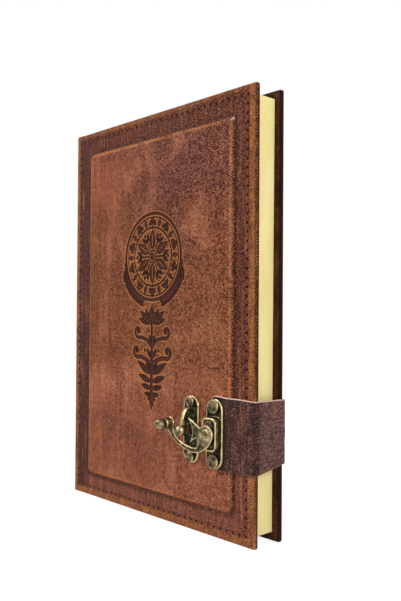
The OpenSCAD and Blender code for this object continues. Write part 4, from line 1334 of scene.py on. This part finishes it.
def rub_and_shade_of(piece):
    """1 on outward edges, -1 in inward corners, 0 on flats, blurred a little."""
    work = bmesh.new()
    work.from_mesh(piece.data)
    work.verts.ensure_lookup_table()
    values = np.zeros(len(work.verts))
    for vert in work.verts:
        bends = [e.calc_face_angle_signed(0) for e in vert.link_edges
                 if len(e.link_faces) == 2]
        if bends:
            values[vert.index] = max(bends, key=abs)
    links = [[e.other_vert(v).index for e in v.link_edges] for v in work.verts]
    work.free()
    values = np.clip(values / 0.5, -1, 1)
    for _ in range(BLUR_ROUNDS):
        values = np.array([0.55 * values[i] + 0.45 * np.mean(values[near]) if near else values[i]
                           for i, near in enumerate(links)])
    return values

def finish_brass(piece, body, *nodes):
    set_attribute(piece, "rub_and_shade", rub_and_shade_of(piece))
    piece.data.materials.append(brass)
    sharpen(piece, 50)
    place_piece(piece, body, "antique_brass", *nodes)

def brass_finish():
    metal = Finish("antique_brass", Metallic=1.0)
    rub_and_shade = metal.attribute("rub_and_shade")
    stain = metal.noise(2.6, 5, 0.6, 0.5)
    specks = metal.noise(0.5, 3, 0.7)
    amount = metal.math("MULTIPLY_ADD", metal.minus(stain, 0.5), 1.25,
                        metal.math("MULTIPLY_ADD", rub_and_shade, 0.5, 0.38))
    amount = metal.math("MULTIPLY_ADD", metal.minus(specks, 0.5), 0.35, amount)
    # The darkest stops are patina, painted shade in nooks and painted dark reflection.
    metal.colour(metal.ramp(amount, (0.12, seen_colour(18, 20, 14)),
                            (0.32, seen_colour(60, 56, 38)), (0.52, seen_colour(126, 112, 84)),
                            (0.9, seen_colour(216, 194, 142))))
    metal.roughness(metal.spread(amount, 0.1, 0.9, 0.55, 0.3))
    metal.bump(metal.math("MULTIPLY_ADD", specks, 0.5, stain), 0.10)
    return metal.material

brass = brass_finish()
print("brass ready")

# %% [markdown]
# ## Plates and studs
# Both plates are long stampings with half-round ends and an eased rim. Rings of the same
# outline, drawn in a little at each level, give the bevel and the shallow field inside
# the rim. The studs are turned: a flat dome with a soft shoulder.

# %% Plates and studs
PLATE_W, PLATE_L, PLATE_T = 10.8, 32.7, 1.0
PANEL_Y = -PANEL_H
CATCH_X = (catch_low[0] + catch_high[0]) / 2
BASE_X = (base_low[0] + base_high[0]) / 2

def smooth_line(points, steps):
    """A curve that passes smoothly through every point."""
    p = np.array(points, float)
    p = np.concatenate([p[:1], p, p[-1:]])
    t = np.linspace(0, 1, steps, endpoint=False)[:, None]
    found = []
    for a, b, c, d in zip(p, p[1:], p[2:], p[3:]):
        found.append((2 * b + (c - a) * t + (2 * a - 5 * b + 4 * c - d) * t ** 2
                      + (3 * b - a - 3 * c + d) * t ** 3) / 2)
    return np.concatenate(found + [p[-1:]])

def plate_outline(cx, inset):
    r, end = PLATE_W / 2 - inset, (PLATE_L - PLATE_W) / 2
    a = np.linspace(0, math.pi, 15)
    top = np.stack([cx + r * np.cos(a), CLASP_Z + end + r * np.sin(a)], 1)
    low = np.stack([cx - r * np.cos(a), CLASP_Z - end - r * np.sin(a)], 1)
    return np.concatenate([top, low])

def at_level(outline, y):
    return np.stack([outline[:, 0], np.full(len(outline), y), outline[:, 1]], 1)

def long_plate(cx, back_y):
    levels = ((0.0, 0.0), (0.0, 0.55), (0.1, 0.84), (0.3, 0.98), (0.62, 1.0),
              (0.85, 0.88), (1.3, 0.84))
    return loft([at_level(plate_outline(cx, inset), back_y - up * PLATE_T)
                 for inset, up in levels])

STUD_H, SHOULDER_R = 1.4, 0.7

def stud(cx, face_y, cz, radius):
    flat = radius - SHOULDER_R
    shoulder = [(flat + SHOULDER_R * math.cos(a), STUD_H * 0.45 + 0.42 * STUD_H * math.sin(a))
                for a in np.linspace(0, math.pi / 2, 8)]
    crown = [(flat * k, STUD_H * (0.87 + 0.13 * (1 - k * k))) for k in (0.8, 0.55, 0.3, 0.1)]
    return lathe([(radius - 0.25, -0.05), (radius, 0.18)] + shoulder + crown,
                 (cx, face_y, cz), 40)

CATCH_FACE, BASE_FACE = PANEL_Y - PLATE_T, PANEL_Y - STRAP_T - PLATE_T
STUDS = (("catch", CATCH_X, CATCH_FACE, 13.4, 2.7), ("hook", BASE_X, BASE_FACE, 12.8, 3.4))
for end, side in (("top", 1), ("bottom", -1)):
    for plate, x, face, off, radius in STUDS:
        head = add_piece(plate + "_stud_" + end, *stud(x, face, CLASP_Z + side * off, radius))
        finish_brass(head, "book", plate + "_rivet_" + end)
print("plates at x", round(float(CATCH_X), 1), "and", round(float(BASE_X), 1))

# %% [markdown]
# ## Catch
# The catch plate carries a ball-headed post, and a curved horn that runs from the plate's
# upper end over to the ball and guides the hook home. The horn is a narrow strip swept
# along a smooth curve, which leaves the plate squarely and comes down onto the ball.

# %% Catch
BALL_R, BALL_UP, POST_R = 2.8, 6.4, 2.2
HORN_T, HORN_W = 1.2, 2.2
HORN_PATH = [(-0.3, 10.3), (1.4, 10.3), (2.8, 9.9), (3.8, 8.9), (4.6, 7.3), (5.3, 5.4),
             (5.9, 3.6), (6.3, 1.8)]

def ball_post():
    profile = [(POST_R + 0.9, -0.02), (POST_R + 0.55, 0.2), (POST_R + 0.15, 0.55),
               (POST_R, 1.0), (POST_R - 0.1, 2.2), (POST_R - 0.15, BALL_UP - 2.35)]
    for a in np.radians(np.linspace(-48, 86, 13)):
        profile.append((BALL_R * math.cos(a), BALL_UP + BALL_R * math.sin(a)))
    return lathe(profile, (CATCH_X, CATCH_FACE, CLASP_Z), 40)

def horn():
    """The strip leaves the plate squarely, bends over and comes down onto the ball."""
    path = smooth_line(HORN_PATH, 4)
    ahead = np.gradient(path, axis=0)
    ahead /= np.linalg.norm(ahead, axis=1, keepdims=True)
    rings = []
    for k, ((out, up), (d_out, d_up)) in enumerate(zip(path, ahead)):
        t = k / (len(path) - 1)
        half_w, half_t = HORN_W / 2 * (1.12 - 0.26 * t), HORN_T / 2 * (1.05 - 0.2 * t)
        ring = []
        for b in np.linspace(0, 2 * math.pi, 16, endpoint=False):
            c, s = math.cos(b), math.sin(b)
            w = half_w * math.copysign(abs(c) ** 0.4, c)
            h = half_t * math.copysign(abs(s) ** 0.4, s)
            ring.append((CATCH_X + w, CATCH_FACE - out + h * d_up, CLASP_Z + up + h * d_out))
        rings.append(np.array(ring))
    return loft(rings)

catch = add_piece("catch", *join_parts([long_plate(CATCH_X, PANEL_Y), ball_post(), horn()]))
finish_brass(catch, "book", "catch_plate")
print("catch", len(catch.data.polygons), "faces")

# %% [markdown]
# ## Hook base
# Under the hook a hollow box is pressed up from the plate. Its walls lean in slightly,
# the top edge is a narrow bright rim, and a round seat is sunk where the hook turns.

# %% Hook base
BOX_W, BOX_L, BOX_H, BOX_CORNER = 9.4, 15.6, 3.5, 2.8

def box_outline(inset):
    hx, hz = BOX_W / 2 - inset, BOX_L / 2 - inset
    r = max(BOX_CORNER - inset, 0.6)
    ring = []
    for cx, cz, start in ((1, 1, 0), (-1, 1, 90), (-1, -1, 180), (1, -1, 270)):
        for a in np.radians(np.linspace(start, start + 90, 7)):
            ring.append((BASE_X + cx * (hx - r) + r * math.cos(a),
                         CLASP_Z + cz * (hz - r) + r * math.sin(a)))
    return np.array(ring)

def hook_box():
    levels = ((-0.35, -0.05), (-0.12, 0.12), (0.0, 0.45), (0.06, BOX_H - 0.4),
              (0.16, BOX_H - 0.12), (0.36, BOX_H), (0.75, BOX_H), (0.95, BOX_H - 0.14),
              (1.3, BOX_H - 0.18), (1.9, BOX_H - 0.18))
    return loft([at_level(box_outline(inset), BASE_FACE - up) for inset, up in levels])

base = add_piece("hook_base", *join_parts([long_plate(BASE_X, BASE_FACE + PLATE_T), hook_box()]))
finish_brass(base, "book", "hook_plate")

pin_up = [(1.25, -0.3), (1.25, 1.22), (2.2, 1.25), (2.3, 1.34), (2.2, 1.46), (1.95, 1.5),
          (1.7, 1.46), (1.5, 1.48), (1.3, 1.58), (1.0, 1.62), (0.75, 1.56), (0.5, 1.6),
          (0.2, 1.66)]
HOOK_BACK = float(arm_high[1])
pin = add_piece("pivot_rivet_head", *lathe(pin_up, (PIVOT[0], HOOK_BACK, PIVOT[2]), 36))
finish_brass(pin, "book", "pivot_rivet")
print("base", len(base.data.polygons), "faces")

# %% [markdown]
# ## Swing hook
# The hook is sawn from sheet: a disc on the pivot, a crescent arm that passes under the
# ball, a round tip for the knob, and a fan above that closes on the post. Its outline is
# one walk: the disc, the tip and the fan's hollow are parts of circles, and smooth curves
# through a few points of the arm join them. One outline makes one sound sheet, where
# overlapping shapes would leave seams.

# %% Hook outline
TIP_C, TIP_R, DISC_R = np.array([-25.9, 2.5]), 3.2, 4.3
POST_C, FAN_R = np.array([CATCH_X - PIVOT[0], 0.0]), 7.7
ARM_OUTER = [(3.4, -2.9), (1.2, -5.65), (-2.1, -7.95), (-6.0, -9.3), (-10.6, -9.45),
             (-15.4, -8.35), (-19.7, -6.6), (-23.3, -4.5), (-26.3, -2.1), (-28.3, 0.4)]
ARM_INNER = [(-23.2, 0.8), (-21.7, -2.4), (-19.0, -4.6), (-16.0, -5.8), (-13.0, -6.55),
             (-10.0, -7.0), (-7.3, -6.9), (-5.6, -6.0), (-5.0, -4.6), (-5.4, -3.1)]
FAN_LOW = [(-6.75, -2.65), (-9.1, -3.75)]
FAN_TOP = [(-12.15, 6.75), (-9.5, 5.5), (-6.8, 4.2), (-4.2, 2.95)]

def round_edge(centre, radius, start, end, count):
    a = np.radians(np.linspace(start, end, count))
    return np.stack([centre[0] + radius * np.cos(a), centre[1] + radius * np.sin(a)], 1)

def hook_outline():
    walk = [round_edge((0, 0), DISC_R, 128, -25, 20), smooth_line(ARM_OUTER, 5),
            round_edge(TIP_C, TIP_R, 212, -22, 24), smooth_line(ARM_INNER, 4),
            np.array(FAN_LOW), round_edge(POST_C, FAN_R, -40, 51, 14), np.array(FAN_TOP)]
    return np.concatenate(walk)[::-1]

def drawn_in(outline, inset):
    """The outline moved inwards along its own normals; it runs anticlockwise."""
    before, after = np.roll(outline, 1, 0), np.roll(outline, -1, 0)
    a, b = outline - before, after - outline
    a /= np.linalg.norm(a, axis=1, keepdims=True)
    b /= np.linalg.norm(b, axis=1, keepdims=True)
    normal = np.stack([-(a + b)[:, 1], (a + b)[:, 0]], 1)
    normal /= np.maximum(np.linalg.norm(normal, axis=1, keepdims=True), 1e-6)
    reach = np.clip(1 / np.maximum((normal * np.stack([-a[:, 1], a[:, 0]], 1)).sum(1), 0.5), 1, 2)
    return outline + normal * (inset * reach)[:, None]

outline = hook_outline()
print("hook outline has", len(outline), "points")

# %% [markdown]
# The sheet is lofted through levels, drawn in a little at both faces, which gives it a
# small filed bevel. The hole for the pivot is lofted too, and the two flat faces are
# filled between outline and hole. A turned knob is riveted to the tip as a finger grip.

# %% Swing hook
HOOK_T = 1.2
HOLE_R = 1.31

def cut_sheet(outline, back_y, levels):
    """Lofts the outline and a hole through it; lists the edges of the two open faces."""
    turn = np.linspace(0, 2 * math.pi, 24, endpoint=False)
    hole = HOLE_R * np.stack([np.cos(turn), np.sin(turn)], 1)
    shift = np.array([PIVOT[0], PIVOT[2]])
    outer = [at_level(drawn_in(outline, inset) + shift, back_y - up) for inset, up in levels]
    inner = [at_level(hole + shift, back_y - up) for up in (levels[0][1], levels[-1][1])]
    shells = join_parts([loft(outer, capped=False), loft(inner, capped=False)])
    n, k, m = len(outline), len(levels), len(hole)
    circle = lambda start, count: [(start + i, start + (i + 1) % count) for i in range(count)]
    rims = [circle(0, n) + circle(n * k, m), circle((k - 1) * n, n) + circle(n * k + m, m)]
    return shells, rims

def fill_rims(points, faces, rims):
    work = bmesh.new()
    verts = [work.verts.new(p) for p in points]
    for face in faces:
        work.faces.new([verts[i] for i in face])
    for rim in rims:
        edges = [work.edges.get((verts[a], verts[b])) for a, b in rim]
        bmesh.ops.triangle_fill(work, use_beauty=True, use_dissolve=False, edges=edges)
    work.verts.index_update()
    filled_points = np.array([v.co[:] for v in work.verts])
    filled_faces = [tuple(v.index for v in f.verts) for f in work.faces]
    work.free()
    return filled_points, filled_faces

HOOK_LEVELS = ((0.22, 0.0), (0.03, 0.16), (0.0, 0.3), (0.0, 0.85), (0.08, 1.06),
               (0.26, 1.18), (0.5, 1.2), (0.8, 1.17))
(sheet_points, sheet_faces), sheet_rims = cut_sheet(outline, HOOK_BACK, HOOK_LEVELS)
swing = add_piece("swing_hook_arm", *fill_rims(sheet_points, sheet_faces, sheet_rims))
finish_brass(swing, "hook", "swing_hook")

KNOB_L, KNOB_R = 8.2, 2.75
ball_at = KNOB_L - KNOB_R
grip = [(2.6, 0.0), (2.95, 0.1), (3.05, 0.4), (3.02, 1.0), (2.95, 1.8), (2.9, 2.6),
        (2.86, 3.0), (2.76, 3.3), (2.6, 3.6)]
grip += [(KNOB_R * math.cos(a), ball_at + KNOB_R * math.sin(a))
         for a in np.radians(np.linspace(-42, 87, 14))]
knob = add_piece("finger_knob", *lathe(grip, (PIVOT[0] + TIP_C[0], HOOK_BACK - HOOK_T,
                                              PIVOT[2] + TIP_C[1]), 40))
finish_brass(knob, "hook", "hook_knob")
print("hook", len(swing.data.polygons), "faces, knob", len(knob.data.polygons))
